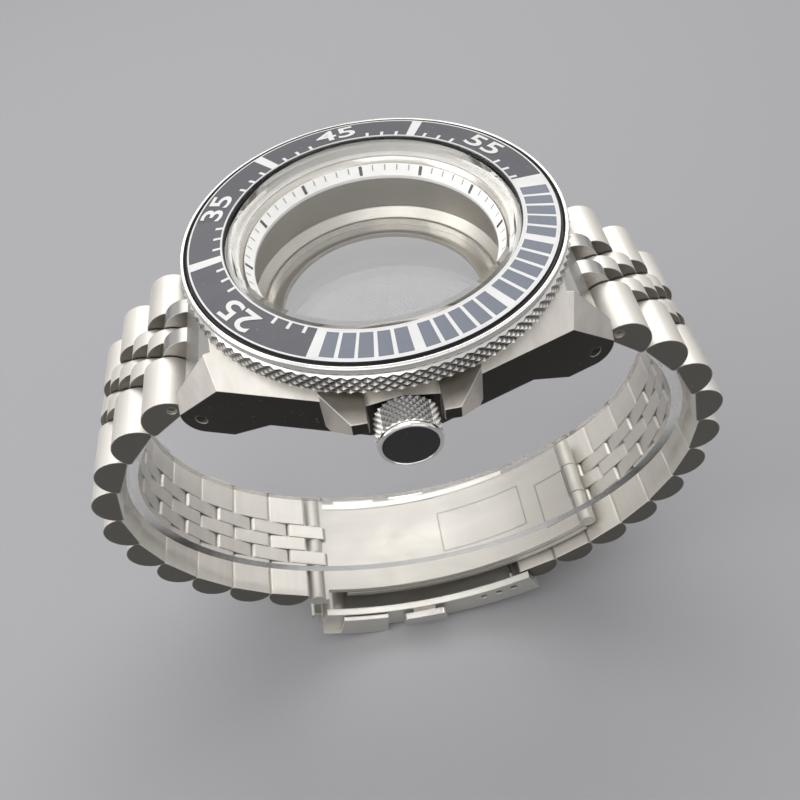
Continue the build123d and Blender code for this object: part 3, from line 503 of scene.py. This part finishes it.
def makeEngraving():
    # lines of a frame on a bent blade: Start and End along the bend in degrees, Low and High in metres
    group, into, out = startGroup(
        "engraving",
        [
            ("Vector", "NodeSocketVector", None),
            ("Start", "NodeSocketFloat", -83.0),
            ("End", "NodeSocketFloat", -63.0),
            ("Low", "NodeSocketFloat", -0.003),
            ("High", "NodeSocketFloat", 0.0045),
        ],
        [("Line", "NodeSocketFloat")],
    )

    def beyond(value, start, end):
        # how far a value lies outside of the span from start to end, negative inside
        middle = addMath(group, "MULTIPLY", addMath(group, "ADD", start, end), 0.5)
        halfSpan = addMath(group, "MULTIPLY", addMath(group, "SUBTRACT", end, start), 0.5)
        away = addMath(group, "ABSOLUTE", addMath(group, "SUBTRACT", value, middle))
        return addMath(group, "SUBTRACT", away, halfSpan)

    split = addNode(group, "ShaderNodeSeparateXYZ")
    group.links.new(into.outputs["Vector"], split.inputs[0])
    angle = addMath(group, "ARCTAN2", split.outputs["Z"], split.outputs["X"])
    angle = addMath(group, "MULTIPLY", angle, math.degrees(1))
    along = beyond(angle, into.outputs["Start"], into.outputs["End"])
    along = addMath(group, "MULTIPLY", along, frameLine["degreeLength"])
    across = beyond(split.outputs["Y"], into.outputs["Low"], into.outputs["High"])
    edge = addMath(group, "ABSOLUTE", addMath(group, "MAXIMUM", along, across))
    line = addNode(
        group, "ShaderNodeMapRange", From_Min=frameLine["faded"], From_Max=frameLine["full"]
    )
    group.links.new(edge, line.inputs["Value"])
    group.links.new(line.outputs["Result"], out.inputs["Line"])
    return group


def placeGroup(tree, group, vector, **values):
    # the first input of each effect is its place or normal
    node = tree.nodes.new("ShaderNodeGroup")
    node.node_tree = group
    tree.links.new(vector, node.inputs[0])
    for label, value in values.items():
        node.inputs[label.replace("_", " ")].default_value = value
    return node


def blendColor(tree, factor, base, top, amount=None):
    # colour that goes from base to top where the factor is 1
    mix = tree.nodes.new("ShaderNodeMix")
    mix.data_type = "RGBA"
    if amount is not None:
        factor = addMath(tree, "MULTIPLY", factor, amount)
    tree.links.new(factor, mix.inputs["Factor"])
    feed(tree, mix.inputs[6], base)  # sockets 6 and 7 are the two colours, 2 is the colour that comes out
    feed(tree, mix.inputs[7], top)
    return mix.outputs[2]


def blendValue(tree, factor, low, high):
    node = addNode(tree, "ShaderNodeMapRange", To_Min=low, To_Max=high)
    tree.links.new(factor, node.inputs["Value"])
    return node.outputs["Result"]


# what a steel finish has unless its own look says otherwise, lengths in metres
steelUsual = {
    "center": (0, 0, 0), "turn": (0, 0, 0), "rings": 6000, "edge": 0.00015, "drag": 0.1,
    "bump": 0.25, "relief": 0.00002, "dust": 0.15, "dustTone": (0.55, 0.53, 0.5, 1),
    "worn": (0.95, 0.94, 0.92, 1), "wornShare": 0.6, "frames": (),
    "frameTone": (0.25, 0.24, 0.22, 1), "frameShare": 0.8,
}


def steelFinish(name, look):
    look = {**steelUsual, **look}
    finish, tree, shader = startFinish(name)
    coord = addNode(tree, "ShaderNodeTexCoord")
    center = addNode(tree, "ShaderNodeMapping", Location=look["center"], Rotation=look["turn"])
    tree.links.new(coord.outputs["Object"], center.inputs["Vector"])
    place = center.outputs["Vector"]
    if "stretch" in look:
        grain = placeGroup(tree, groups["brushedGrain"], place, Stretch=look["stretch"])
    else:
        grain = placeGroup(tree, groups["turnedGrain"], place, Rings=look["rings"])
    handling = placeGroup(tree, groups["handling"], place)
    edges = placeGroup(tree, groups["edgeWear"], place, Size=look["edge"])
    tone = blendColor(tree, grain.outputs["Streak"], look["shade"], look["tone"])
    roughness = blendValue(tree, handling.outputs["Smear"], *look["rough"])
    # faces that look to the crown's side get a darker tone, a painted dark reflection
    if "paintedReflectionTone" in look:
        paintedReflectionMask = placeGroup(tree, groups["paintedReflectionMask"], coord.outputs["Normal"])
        tone = blendColor(tree, paintedReflectionMask.outputs[look["paintedReflectionSide"]], tone, look["paintedReflectionTone"])
    # painted shade towards the axis: in a knurl's valleys, and on the case's inside
    if "paintedShade" in look:
        low, high = look["paintedShade"]
        paintedShade = placeGroup(tree, groups["paintedShade"], place, Low=low, High=high)
        tone = blendColor(tree, paintedShade.outputs["Depth"], tone, look["paintedShadeTone"], look["paintedShadeShare"])
    relief = grain.outputs["Grain"]
    for start, end, low, high in look["frames"]:
        engraving = placeGroup(
            tree, groups["engraving"], place, Start=start, End=end, Low=low * mm, High=high * mm
        )
        line = engraving.outputs["Line"]
        tone = blendColor(tree, line, tone, look["frameTone"], look["frameShare"])
        relief = addMath(tree, "SUBTRACT", relief, line)
    tone = blendColor(tree, edges.outputs["Edge"], tone, look["worn"], look["wornShare"])
    tone = blendColor(tree, handling.outputs["Dust"], tone, look["dustTone"], look["dust"])
    drag = blendValue(tree, grain.outputs["Grain"], 0, look["drag"])
    roughness = addMath(tree, "ADD", roughness, drag)
    normal = addBump(tree, relief, look["bump"], look["relief"], edges.outputs["Normal"])
    tree.links.new(tone, shader.inputs["Base Color"])
    tree.links.new(roughness, shader.inputs["Roughness"])
    tree.links.new(normal, shader.inputs["Normal"])
    shader.inputs["Metallic"].default_value = 1
    return finish


plainUsual = {
    "mottle": 400, "pores": 5000, "edge": 0.00005, "wornShare": 0.5, "dust": 0.2,
    "dustTone": (0.6, 0.58, 0.55, 1), "bump": 0.1, "relief": 0.00002, "coat": 0,
}


def plainFinish(name, look):
    # rubber and print: soft mottling, pores and a little dust
    look = {**plainUsual, **look}
    finish, tree, shader = startFinish(name)
    coord = addNode(tree, "ShaderNodeTexCoord")
    place = coord.outputs["Object"]
    handling = placeGroup(tree, groups["handling"], place, Smear_Size=look["mottle"])
    edges = placeGroup(tree, groups["edgeWear"], place, Size=look["edge"])
    pores = addNode(tree, "ShaderNodeTexNoise", Scale=look["pores"])
    tree.links.new(place, pores.inputs["Vector"])
    tone = blendColor(tree, handling.outputs["Smear"], look["tone"], look["shade"])
    tone = blendColor(tree, edges.outputs["Edge"], tone, look["shade"], look["wornShare"])
    tone = blendColor(tree, handling.outputs["Dust"], tone, look["dustTone"], look["dust"])
    roughness = blendValue(tree, handling.outputs["Smear"], *look["rough"])
    normal = addBump(tree, pores.outputs["Fac"], look["bump"], look["relief"], edges.outputs["Normal"])
    tree.links.new(tone, shader.inputs["Base Color"])
    tree.links.new(roughness, shader.inputs["Roughness"])
    tree.links.new(normal, shader.inputs["Normal"])
    shader.inputs["Coat Weight"].default_value = look["coat"]
    return finish


clearUsual = {"smear": 180, "waves": 60, "relief": 0.0005, "shadow": (0.9, 0.9, 0.9, 1)}


def clearFinish(name, look):
    # glass or clear plastic that lets light fall through it
    look = {**clearUsual, **look}
    finish, tree, shader = startFinish(name)
    link = tree.links.new
    coord = addNode(tree, "ShaderNodeTexCoord")
    place = coord.outputs["Object"]
    handling = placeGroup(tree, groups["handling"], place, Smear_Size=look["smear"])
    tone = blendColor(tree, handling.outputs["Smear"], look["tone"], look["shade"])
    roughness = blendValue(tree, handling.outputs["Smear"], *look["rough"])
    waves = addNode(tree, "ShaderNodeTexNoise", Scale=look["waves"])
    link(place, waves.inputs["Vector"])
    normal = addBump(tree, waves.outputs["Fac"], look["bump"], look["relief"])
    link(tone, shader.inputs["Base Color"])
    link(roughness, shader.inputs["Roughness"])
    link(normal, shader.inputs["Normal"])
    shader.inputs["Transmission Weight"].default_value = 1
    shader.inputs["IOR"].default_value = look["ior"]
    path = addNode(tree, "ShaderNodeLightPath")
    gap = addNode(tree, "ShaderNodeBsdfTransparent", Color=look["shadow"])
    mix = addNode(tree, "ShaderNodeMixShader")
    link(path.outputs["Is Shadow Ray"], mix.inputs["Fac"])
    link(shader.outputs[0], mix.inputs[1])
    link(gap.outputs[0], mix.inputs[2])
    link(mix.outputs[0], tree.nodes["Material Output"].inputs["Surface"])
    return finish


groups = {
    "edgeWear": makeEdgeWear(),
    "brushedGrain": makeBrushedGrain(),
    "turnedGrain": makeTurnedGrain(),
    "handling": makeHandling(),
    "paintedReflectionMask": makeFacing(),
    "paintedShade": makeValley(),
    "engraving": makeEngraving(),
}

# tone and shade are the lighter and the darker streaks, lengths are in metres
steelLooks = {
    # satinCase: flanks that face the crown's side are painted near black as a dark reflection, and the
    # case's inside, nearer than 15.3 mm to the axis, gets painted shade, darker and warmer
    "satinCase": {
        "tone": (0.78, 0.745, 0.685, 1), "shade": (0.58, 0.55, 0.50, 1), "rough": (0.32, 0.42),
        "stretch": (4500, 160, 4500), "paintedReflectionTone": (0.045, 0.042, 0.037, 1), "paintedReflectionSide": "Flank",
        "edge": 0.00016, "paintedShade": (0.0153, 0.0155), "paintedShadeTone": (0.44, 0.40, 0.33, 1),
        "paintedShadeShare": 0.85,
    },
    "polishedRing": {
        "tone": (0.80, 0.78, 0.74, 1), "shade": (0.70, 0.68, 0.65, 1), "rough": (0.08, 0.14),
        "rings": 7000, "edge": 0.00008, "bump": 0.05,
    },
    # knurledRing: the valleys between the knurl's crests get painted shade, almost black
    "knurledRing": {
        "tone": (0.93, 0.90, 0.85, 1), "shade": (0.84, 0.80, 0.74, 1), "rough": (0.10, 0.18),
        "rings": 7000, "edge": 0.00006, "bump": 0.05, "paintedShade": (0.02124, 0.02142),
        "paintedShadeTone": (0.025, 0.022, 0.02, 1), "paintedShadeShare": 0.94,
    },
    "satinBack": {
        "tone": (0.62, 0.59, 0.53, 1), "shade": (0.52, 0.49, 0.44, 1), "rough": (0.26, 0.36),
        "rings": 5000, "edge": 0.00015,
    },
    # satinLink: faces that look straight to the crown's side are darkened, a painted dark reflection
    "satinLink": {
        "tone": (0.84, 0.81, 0.75, 1), "shade": (0.72, 0.69, 0.635, 1), "rough": (0.46, 0.56),
        "stretch": (5000, 150, 5000), "paintedReflectionTone": (0.17, 0.163, 0.145, 1), "paintedReflectionSide": "Side",
        "edge": 0.00024,
    },
    "satinEndLink": {
        "tone": (0.52, 0.505, 0.48, 1), "shade": (0.40, 0.39, 0.37, 1), "rough": (0.24, 0.34),
        "stretch": (5000, 150, 5000), "edge": 0.00014,
    },
    "satinBlade": {
        "tone": (0.60, 0.58, 0.53, 1), "shade": (0.53, 0.51, 0.47, 1), "rough": (0.52, 0.62),
        "stretch": (130, 5000, 130), "edge": 0.00015, "center": (0.0015, 0, 0.0189),
        "frames": ((-83.2, -63.4, -3.2, 4.2), (-59.2, -50.9, -5.3, 2.7)),
    },
    "satinClasp": {
        "tone": (0.72, 0.70, 0.65, 1), "shade": (0.64, 0.62, 0.58, 1), "rough": (0.36, 0.46),
        "stretch": (130, 5000, 130), "edge": 0.0002,
    },
    "polishedStep": {
        "tone": (0.80, 0.76, 0.69, 1), "shade": (0.70, 0.66, 0.60, 1), "rough": (0.16, 0.24),
        "rings": 9000, "edge": 0.00006, "bump": 0.05,
    },
    "pressedPin": {
        "tone": (0.78, 0.76, 0.72, 1), "shade": (0.66, 0.64, 0.61, 1), "rough": (0.12, 0.2),
        "stretch": (4000, 200, 4000), "edge": 0.0001,
    },
    # lug bars: painted near black, as the shade inside the lug holes
    "paintedShadePin": {
        "tone": (0.05, 0.047, 0.045, 1), "shade": (0.035, 0.033, 0.032, 1), "rough": (0.4, 0.5),
        "stretch": (4000, 200, 4000), "edge": 0.00003, "worn": (0.1, 0.095, 0.09, 1),
    },
    "innerWall": {
        "tone": (0.36, 0.36, 0.36, 1), "shade": (0.30, 0.30, 0.30, 1), "rough": (0.24, 0.34),
        "rings": 9000, "edge": 0.00004, "bump": 0.05,
    },
    "springSteel": {
        "tone": (0.62, 0.60, 0.58, 1), "shade": (0.5, 0.49, 0.47, 1), "rough": (0.2, 0.3),
        "stretch": (3000, 3000, 3000), "edge": 0.00005,
    },
}

plainLooks = {
    "printCharcoal": {
        "tone": (0.062, 0.062, 0.074, 1), "shade": (0.078, 0.078, 0.09, 1), "rough": (0.35, 0.5),
        "coat": 0.2,
    },
    "printWhite": {
        "tone": (0.94, 0.93, 0.915, 1), "shade": (0.90, 0.89, 0.87, 1), "rough": (0.35, 0.5),
        "coat": 0.2,
    },
    "printBlue": {
        "tone": (0.15, 0.175, 0.225, 1), "shade": (0.18, 0.20, 0.25, 1), "rough": (0.35, 0.5),
        "coat": 0.2,
    },
    "printBlack": {
        "tone": (0.015, 0.015, 0.017, 1), "shade": (0.03, 0.03, 0.03, 1), "rough": (0.35, 0.5),
    },
    "printGrey": {
        "tone": (0.30, 0.30, 0.31, 1), "shade": (0.36, 0.36, 0.36, 1), "rough": (0.35, 0.5),
    },
    "sealRubber": {
        "tone": (0.02, 0.02, 0.02, 1), "shade": (0.035, 0.035, 0.035, 1), "rough": (0.5, 0.7),
        "bump": 0.3,
    },
    "sealWhite": {
        "tone": (0.78, 0.76, 0.72, 1), "shade": (0.7, 0.68, 0.64, 1), "rough": (0.4, 0.55),
        "bump": 0.2,
    },
    "crownBlack": {
        "tone": (0.006, 0.006, 0.007, 1), "shade": (0.012, 0.012, 0.012, 1), "rough": (0.25, 0.4),
        "dust": 0.1,
    },
}

clearLooks = {
    "sapphire": {
        "tone": (0.985, 0.985, 0.98, 1), "shade": (0.975, 0.975, 0.97, 1), "rough": (0.0, 0.0),
        "ior": 1.18, "bump": 0.0,
    },
    "backGlass": {
        "tone": (0.87, 0.87, 0.855, 1), "shade": (0.84, 0.84, 0.825, 1), "rough": (0.0, 0.0),
        "ior": 1.3, "bump": 0.0,
    },
    "clearPlastic": {
        "tone": (0.99, 0.985, 0.98, 1), "shade": (0.97, 0.965, 0.96, 1), "rough": (0.10, 0.2),
        "ior": 1.3, "bump": 0.05, "shadow": (0.92, 0.92, 0.92, 1),
    },
}

finishes = {}
for finishName, look in steelLooks.items():
    finishes[finishName] = steelFinish(finishName, look)
for finishName, look in plainLooks.items():
    finishes[finishName] = plainFinish(finishName, look)
for finishName, look in clearLooks.items():
    finishes[finishName] = clearFinish(finishName, look)
print("finishes ready:", len(finishes))

# the CAD nodes keep their shapes; rows of links get satinLink, and pins that aren't here pressedPin
nodeFinish = {
    "mid_case": "satinCase",
    "crown_tube": "pressedPin",
    "chapter_ring": "printWhite",
    "crystal": "sapphire",
    "crystal_gasket": "sealWhite",
    "bezel_gasket": "sealRubber",
    "bezel_click_spring": "springSteel",
    "bezel_ring": "polishedRing",
    "bezel_insert": "printCharcoal",
    "case_back_ring": "satinBack",
    "case_back_glass": "backGlass",
    "case_back_glass_gasket": "satinBack",
    "case_back_gasket": "sealRubber",
    "crown": "polishedRing",
    "crown_disc": "crownBlack",
    "crown_gasket": "sealRubber",
    "crown_core": "pressedPin",
    "crown_spring": "springSteel",
    "lug_bar_left": "paintedShadePin",
    "lug_bar_right": "paintedShadePin",
    "end_link_left": "satinEndLink",
    "end_link_right": "satinEndLink",
    "clasp_inner_blade": "satinBlade",
    "clasp_middle_blade": "satinBlade",
    "clasp_cover": "satinClasp",
    "clasp_blade_bar": "satinBlade",
    "clasp_fold_pin": "satinBlade",
    "clasp_lock": "satinClasp",
    "clasp_button_front": "pressedPin",
    "clasp_button_back": "pressedPin",
    "clear_former": "clearPlastic",
}


def dressNodes():
    for name, node in nodes.items():
        usual = "satinLink" if name.startswith("link_") else "pressedPin"
        finish = finishes[nodeFinish.get(name, usual)]
        if not node.material_slots:
            node.data.materials.append(finish)
        for slot in node.material_slots:
            slot.material = finish


bezel = {
    "columns": 216,
    "levels": (2.2, 2.7, 3.2, 3.7, 4.2),
    "radius": 21.48,
    "depth": 0.28,
    "knurlFrom": 20.5,            # faces of the knurled band lie further out
    "groove": (20.4, 20.78),      # the groove round the insert, its faces painted black as shade
    "lowProfile": ((17.75, 4.6), (17.75, 2.05), (21.05, 2.05)),
    "highProfile": (
        (21.18, 4.3), (21.1, 4.38), (21.1, 4.6), (21.2, 4.66), (21.25, 4.76), (21.25, 5.0),
        (21.23, 5.12), (21.18, 5.22), (21.1, 5.27), (21.05, 5.21), (21.0, 5.21), (20.96, 5.33),
        (20.94, 5.35), (20.84, 5.35), (20.79, 5.3), (20.62, 5.0), (20.62, 4.7),
        (16.37, 4.7), (16.37, 4.6), (17.75, 4.6),
    ),
}


def knurledShape(name, shape):
    # a turned piece with one ring at each level, ready for its diamond knurl
    rows = tuple((shape["radius"], level) for level in shape["levels"])
    profile = shape["lowProfile"] + rows + shape["highProfile"]
    return turnedShape(name, profile, shape["columns"])


def makeBezel():
    ring = knurledShape("knurledBezel", bezel)
    closeShape()
    cutKnurl(ring, bezel)
    ring.data.materials.append(finishes["polishedRing"])
    ring.data.materials.append(finishes["knurledRing"])
    # the third slot paints the shade in the groove round the insert black
    ring.data.materials.append(finishes["sealRubber"])
    low, high = bezel["levels"][0] * mm, bezel["levels"][-1] * mm
    grooveIn, grooveOut = (edge * mm for edge in bezel["groove"])
    for face in ring.data.polygons:
        reach = face.center.xy.length
        if low < face.center.z < high and reach > bezel["knurlFrom"] * mm:
            face.material_index = 1  # knurled steel
        elif grooveIn < reach < grooveOut:
            face.material_index = 2  # painted shade, black in the groove
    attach(ring, "bezel")
    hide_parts("bezel_ring")


# two black rings that paint the shadow in the joints round the insert and the crystal, and a bright wall
thinRings = {
    "insertShadowRing": {
        "profile": ((20.34, 4.72), (20.34, 5.1), (20.6, 5.1), (20.6, 4.72), (20.34, 4.72)),
        "finish": "sealRubber", "slot": "black_rubber",
    },
    "crystalShadowRing": {
        "profile": ((16.24, 5.3), (16.24, 5.45), (16.385, 5.45), (16.385, 5.3), (16.24, 5.3)),
        "finish": "sealRubber", "slot": "black_rubber",
    },
    "insertInnerWall": {
        "profile": ((16.35, 5.46), (16.35, 5.78), (16.42, 5.84), (16.42, 5.46), (16.35, 5.46)),
        "finish": "innerWall", "slot": "polished_steel",
    },
}
thinRingSegments = 192


def makeThinRings():
    for name, ring in thinRings.items():
        piece = turnedShape(name, ring["profile"], thinRingSegments)
        closeShape()
        wear(piece, "bezel", finishes[ring["finish"]])


# heights are along the crown's own axis, outward from its foot
crown = {
    "axisHeight": -2.1,
    "foot": -21.3,
    "columns": 56,
    "levels": (0.2, 0.57, 0.94, 1.31, 1.68, 2.05, 2.42, 2.79, 3.1),
    "radius": 3.4,
    "depth": 0.26,
    "poleWithin": 0.1,
    "poleLevelWithin": 0.01,
    "lowProfile": ((0.03, 3.1), (1.68, 3.1), (1.68, 0.0), (3.1, 0.0)),
    "highProfile": (
        (3.2, 3.2), (3.28, 3.28), (3.3, 3.4), (3.28, 3.6), (3.2, 3.72), (3.08, 3.8), (2.94, 3.8),
        (2.84, 3.72), (2.82, 3.6), (2.82, 3.33), (0.03, 3.33),
    ),
}

# the crown's finishes are turned, so that their circles run round a line along Y
crownTurn = {"center": (0, 0.0021, 0), "turn": (math.pi / 2, 0, 0)}
crownLooks = {
    # knurledCap: the crown knurl's valleys get painted shade
    "knurledCap": {
        **steelLooks["knurledRing"], **crownTurn, "tone": (0.97, 0.95, 0.92, 1),
        "shade": (0.92, 0.9, 0.87, 1), "rough": (0.45, 0.53), "paintedShade": (0.00314, 0.0033),
        "paintedShadeShare": 0.7,
    },
    "polishedCap": {**steelLooks["polishedRing"], **crownTurn},
}
for finishName, look in crownLooks.items():
    finishes[finishName] = steelFinish(finishName, look)


def closePole(piece, level):
    # draws the tiny ring at the axis into one point
    def atPole(place):
        near = place.xy.length < crown["poleWithin"] * mm
        return near and abs(place.z - level * mm) < crown["poleLevelWithin"] * mm
    bpy.ops.mesh.select_all(action="DESELECT")
    pickVerts(piece, atPole)
    bpy.ops.mesh.merge(type="CENTER")


def makeCrown():
    cap = knurledShape("knurledCrown", crown)
    closePole(cap, crown["lowProfile"][0][1])
    closePole(cap, crown["highProfile"][-1][1])
    closeShape()
    cutKnurl(cap, crown)
    cap.rotation_euler = (math.pi / 2, 0, 0)
    cap.location = (0, crown["foot"] * mm, crown["axisHeight"] * mm)
    settle(cap)
    wear(cap, "crown", finishes["knurledCap"])
    cap.data.materials.append(finishes["polishedCap"])
    rim = (crown["foot"] - crown["levels"][-1]) * mm
    for face in cap.data.polygons:
        if face.center.y < rim:
            face.material_index = 1  # polished
    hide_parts("crown")


minuteAngle = 6  # degrees
inkThickness = 0.012

insert = {
    "inner": 16.40,
    "outer": 20.32,
    "innerTop": 5.82,
    "outerTop": 5.42,
    "firstMinute": 6.8,           # the minute that points to +X
    "steps": 1440,
    "borderWidth": 0.2,
    "lineLift": 0.02,
    "whiteUntil": 20,             # minutes
    "whiteLift": 0.012,
    "blocks": 5,                  # in each five minutes
    "blockAngle": 4.35,
    "blockGap": 1.25,
    "blockInset": 2.2,            # in widths of the border
    "blockLift": 0.026,
    "wedges": (20, 30, 40, 50),
    "wedgeHalf": 0.28,            # minutes
    "zeroWedgeHalf": 0.75,
    "tickSteps": (-4, -3, -2, 2, 3, 4),
    "tickHalf": 0.11,
    "tickLength": 0.85,
    "markLift": 0.022,
    "numerals": (25, 35, 45, 55),
    "numeralSize": 3.5,
    "numeralWidth": 1.45,
    "numeralRadius": 18.35,
    "numeralWeight": 0.06,
    "numeralHalfDepth": 0.006,
    "numeralLift": 0.03,
    "curveSteps": 5,
}


def insertTop(radius):
    share = (radius - insert["inner"]) / (insert["outer"] - insert["inner"])
    return insert["innerTop"] + share * (insert["outerTop"] - insert["innerTop"])


def minutesAt(place, firstMinute):
    angle = math.degrees(math.atan2(place.y, place.x))
    return ((firstMinute - angle) / minuteAngle) % 60


def coneMark(name, inner, outer, lift, keep, topOf, steps, firstMinute):
    # a thin printed layer on a cone, kept only at the minutes that keep() allows
    mark = turnedShape(name, [(inner, topOf(inner) + lift), (outer, topOf(outer) + lift)], steps)
    bpy.ops.mesh.select_all(action="DESELECT")
    pickFaces(mark, lambda place: not keep(minutesAt(place, firstMinute)))
    bpy.ops.mesh.delete(type="FACE")
    bpy.ops.mesh.select_mode(type="VERT")
    bpy.ops.mesh.select_all(action="SELECT")
    bpy.ops.mesh.normals_make_consistent(inside=False)
    bpy.ops.object.mode_set(mode="OBJECT")
    if mark.data.polygons[0].normal.z < 0:
        mark.data.flip_normals()
    solid = mark.modifiers.new("thickness", "SOLIDIFY")
    solid.thickness = inkThickness * mm
    solid.offset = -1
    bpy.ops.object.modifier_apply(modifier="thickness")
    return mark


def within(minute, middle, halfWidth):
    away = abs((minute - middle + 30) % 60 - 30)
    return away <= halfWidth


def everywhere(minute):
    return True


def onWhite(minute):
    return minute <= insert["whiteUntil"]


def inBlocks(minute):
    if not onWhite(minute):
        return False
    blocks, width, gap = insert["blocks"], insert["blockAngle"], insert["blockGap"]
    span = 5 * minuteAngle
    angle = (minute % 5) * minuteAngle
    margin = (span - blocks * width - (blocks - 1) * gap) / 2
    place = (angle - margin) % (width + gap)
    return margin <= angle <= span - margin and place <= width


def onWedges(minute):
    if within(minute, 0, insert["zeroWedgeHalf"]):
        return True
    return any(within(minute, middle, insert["wedgeHalf"]) for middle in insert["wedges"])


def onTicks(minute):
    return any(
        within(minute, numeral + step, insert["tickHalf"])
        for numeral in insert["numerals"] for step in insert["tickSteps"]
    )


def makeNumeral(minute):
    clearSelection()
    bpy.ops.object.text_add(location=(0, 0, 0))
    figure = bpy.context.object
    figure.name = f"insertNumeral{minute}"
    figure.data.body = str(minute)
    figure.data.align_x = "CENTER"
    figure.data.align_y = "CENTER"
    figure.data.size = insert["numeralSize"] * mm
    figure.data.offset = insert["numeralWeight"] * mm
    figure.data.extrude = insert["numeralHalfDepth"] * mm
    figure.data.resolution_u = insert["curveSteps"]
    bpy.ops.object.convert(target="MESH")
    angle = math.radians(insert["firstMinute"] - minuteAngle * minute)
    radius = insert["numeralRadius"]
    slope = math.atan2(insert["innerTop"] - insert["outerTop"], insert["outer"] - insert["inner"])
    height = insertTop(radius) + insert["numeralLift"]
    figure.matrix_world = (
        Matrix.Rotation(angle, 4, "Z")
        @ Matrix.Translation((radius * mm, 0, height * mm))
        @ Matrix.Rotation(-math.pi / 2, 4, "Z")
        @ Matrix.Rotation(-slope, 4, "X")
        @ Matrix.Diagonal((insert["numeralWidth"], 1, 1, 1))
    )
    settle(figure)
    wear(figure, "bezel", finishes["printWhite"])


def makeInsertMarks():
    low, high, edge = insert["inner"], insert["outer"], insert["borderWidth"]
    inset = insert["blockInset"] * edge
    line, white, mark = insert["lineLift"], insert["whiteLift"], insert["markLift"]
    tickEnd = low + edge + insert["tickLength"]
    layers = (
        ("insertInnerLine", low, low + edge, line, everywhere, "printWhite"),
        ("insertOuterLine", high - edge, high, line, everywhere, "printWhite"),
        ("insertWhiteGround", low + edge, high - edge, white, onWhite, "printWhite"),
        ("insertBlocks", low + inset, high - inset, insert["blockLift"], inBlocks, "printBlue"),
        ("insertWedges", low + edge, high - edge, mark, onWedges, "printWhite"),
        ("insertTicks", low + edge, tickEnd, mark, onTicks, "printWhite"),
    )
    for name, inner, outer, lift, keep, finish in layers:
        layer = coneMark(
            name, inner, outer, lift, keep, insertTop, insert["steps"], insert["firstMinute"]
        )
        wear(layer, "bezel", finishes[finish])
    for minute in insert["numerals"]:
        makeNumeral(minute)


chapter = {
    "foot": 13.75,
    "footTop": 1.12,
    "crest": 15.05,
    "crestTop": 2.85,
    "steps": 3600,
    "lift": 0.06,
    "fivesFrom": 13.85,
    "minutesFrom": 14.1,
    "marksTo": 14.5,
    "fiveHalf": 0.13,             # minutes
    "minuteHalf": 0.05,
    "stepProfile": (
        (14.56, 2.1), (14.62, 2.34), (14.72, 2.5), (14.98, 2.84), (15.04, 2.9), (15.5, 2.9),
        (15.5, 2.86), (15.05, 2.84), (14.56, 2.1),
    ),
    "stepSegments": 256,
}


def chapterTop(radius):
    share = (radius - chapter["foot"]) / (chapter["crest"] - chapter["foot"])
    return chapter["footTop"] + share * (chapter["crestTop"] - chapter["footTop"])


def onFives(minute):
    half = chapter["fiveHalf"]
    return within(minute % 5, 0, half) or within(minute % 5, 5, half)


def onMinutes(minute):
    half = chapter["minuteHalf"]
    return (minute + half) % 1 < 2 * half and not onFives(minute)


def makeChapterMarks():
    end = chapter["marksTo"]
    layers = (
        ("chapterFives", chapter["fivesFrom"], end, onFives, "printBlack"),
        ("chapterMinutes", chapter["minutesFrom"], end, onMinutes, "printGrey"),
    )
    for name, inner, outer, keep, finish in layers:
        mark = coneMark(name, inner, outer, chapter["lift"], keep, chapterTop, chapter["steps"], 0)
        wear(mark, "case", finishes[finish])
    step = turnedShape("chapterStep", chapter["stepProfile"], chapter["stepSegments"])
    closeShape()
    wear(step, "case", finishes["polishedStep"])


setCamera()
setFloor()
setLight()
print("camera, floor and light ready")
dressNodes()
print("CAD nodes dressed:", len(nodes))
makeBezel()
makeThinRings()
makeCrown()
print("bezel and crown ready")
makeInsertMarks()
makeChapterMarks()
print("printed marks ready")
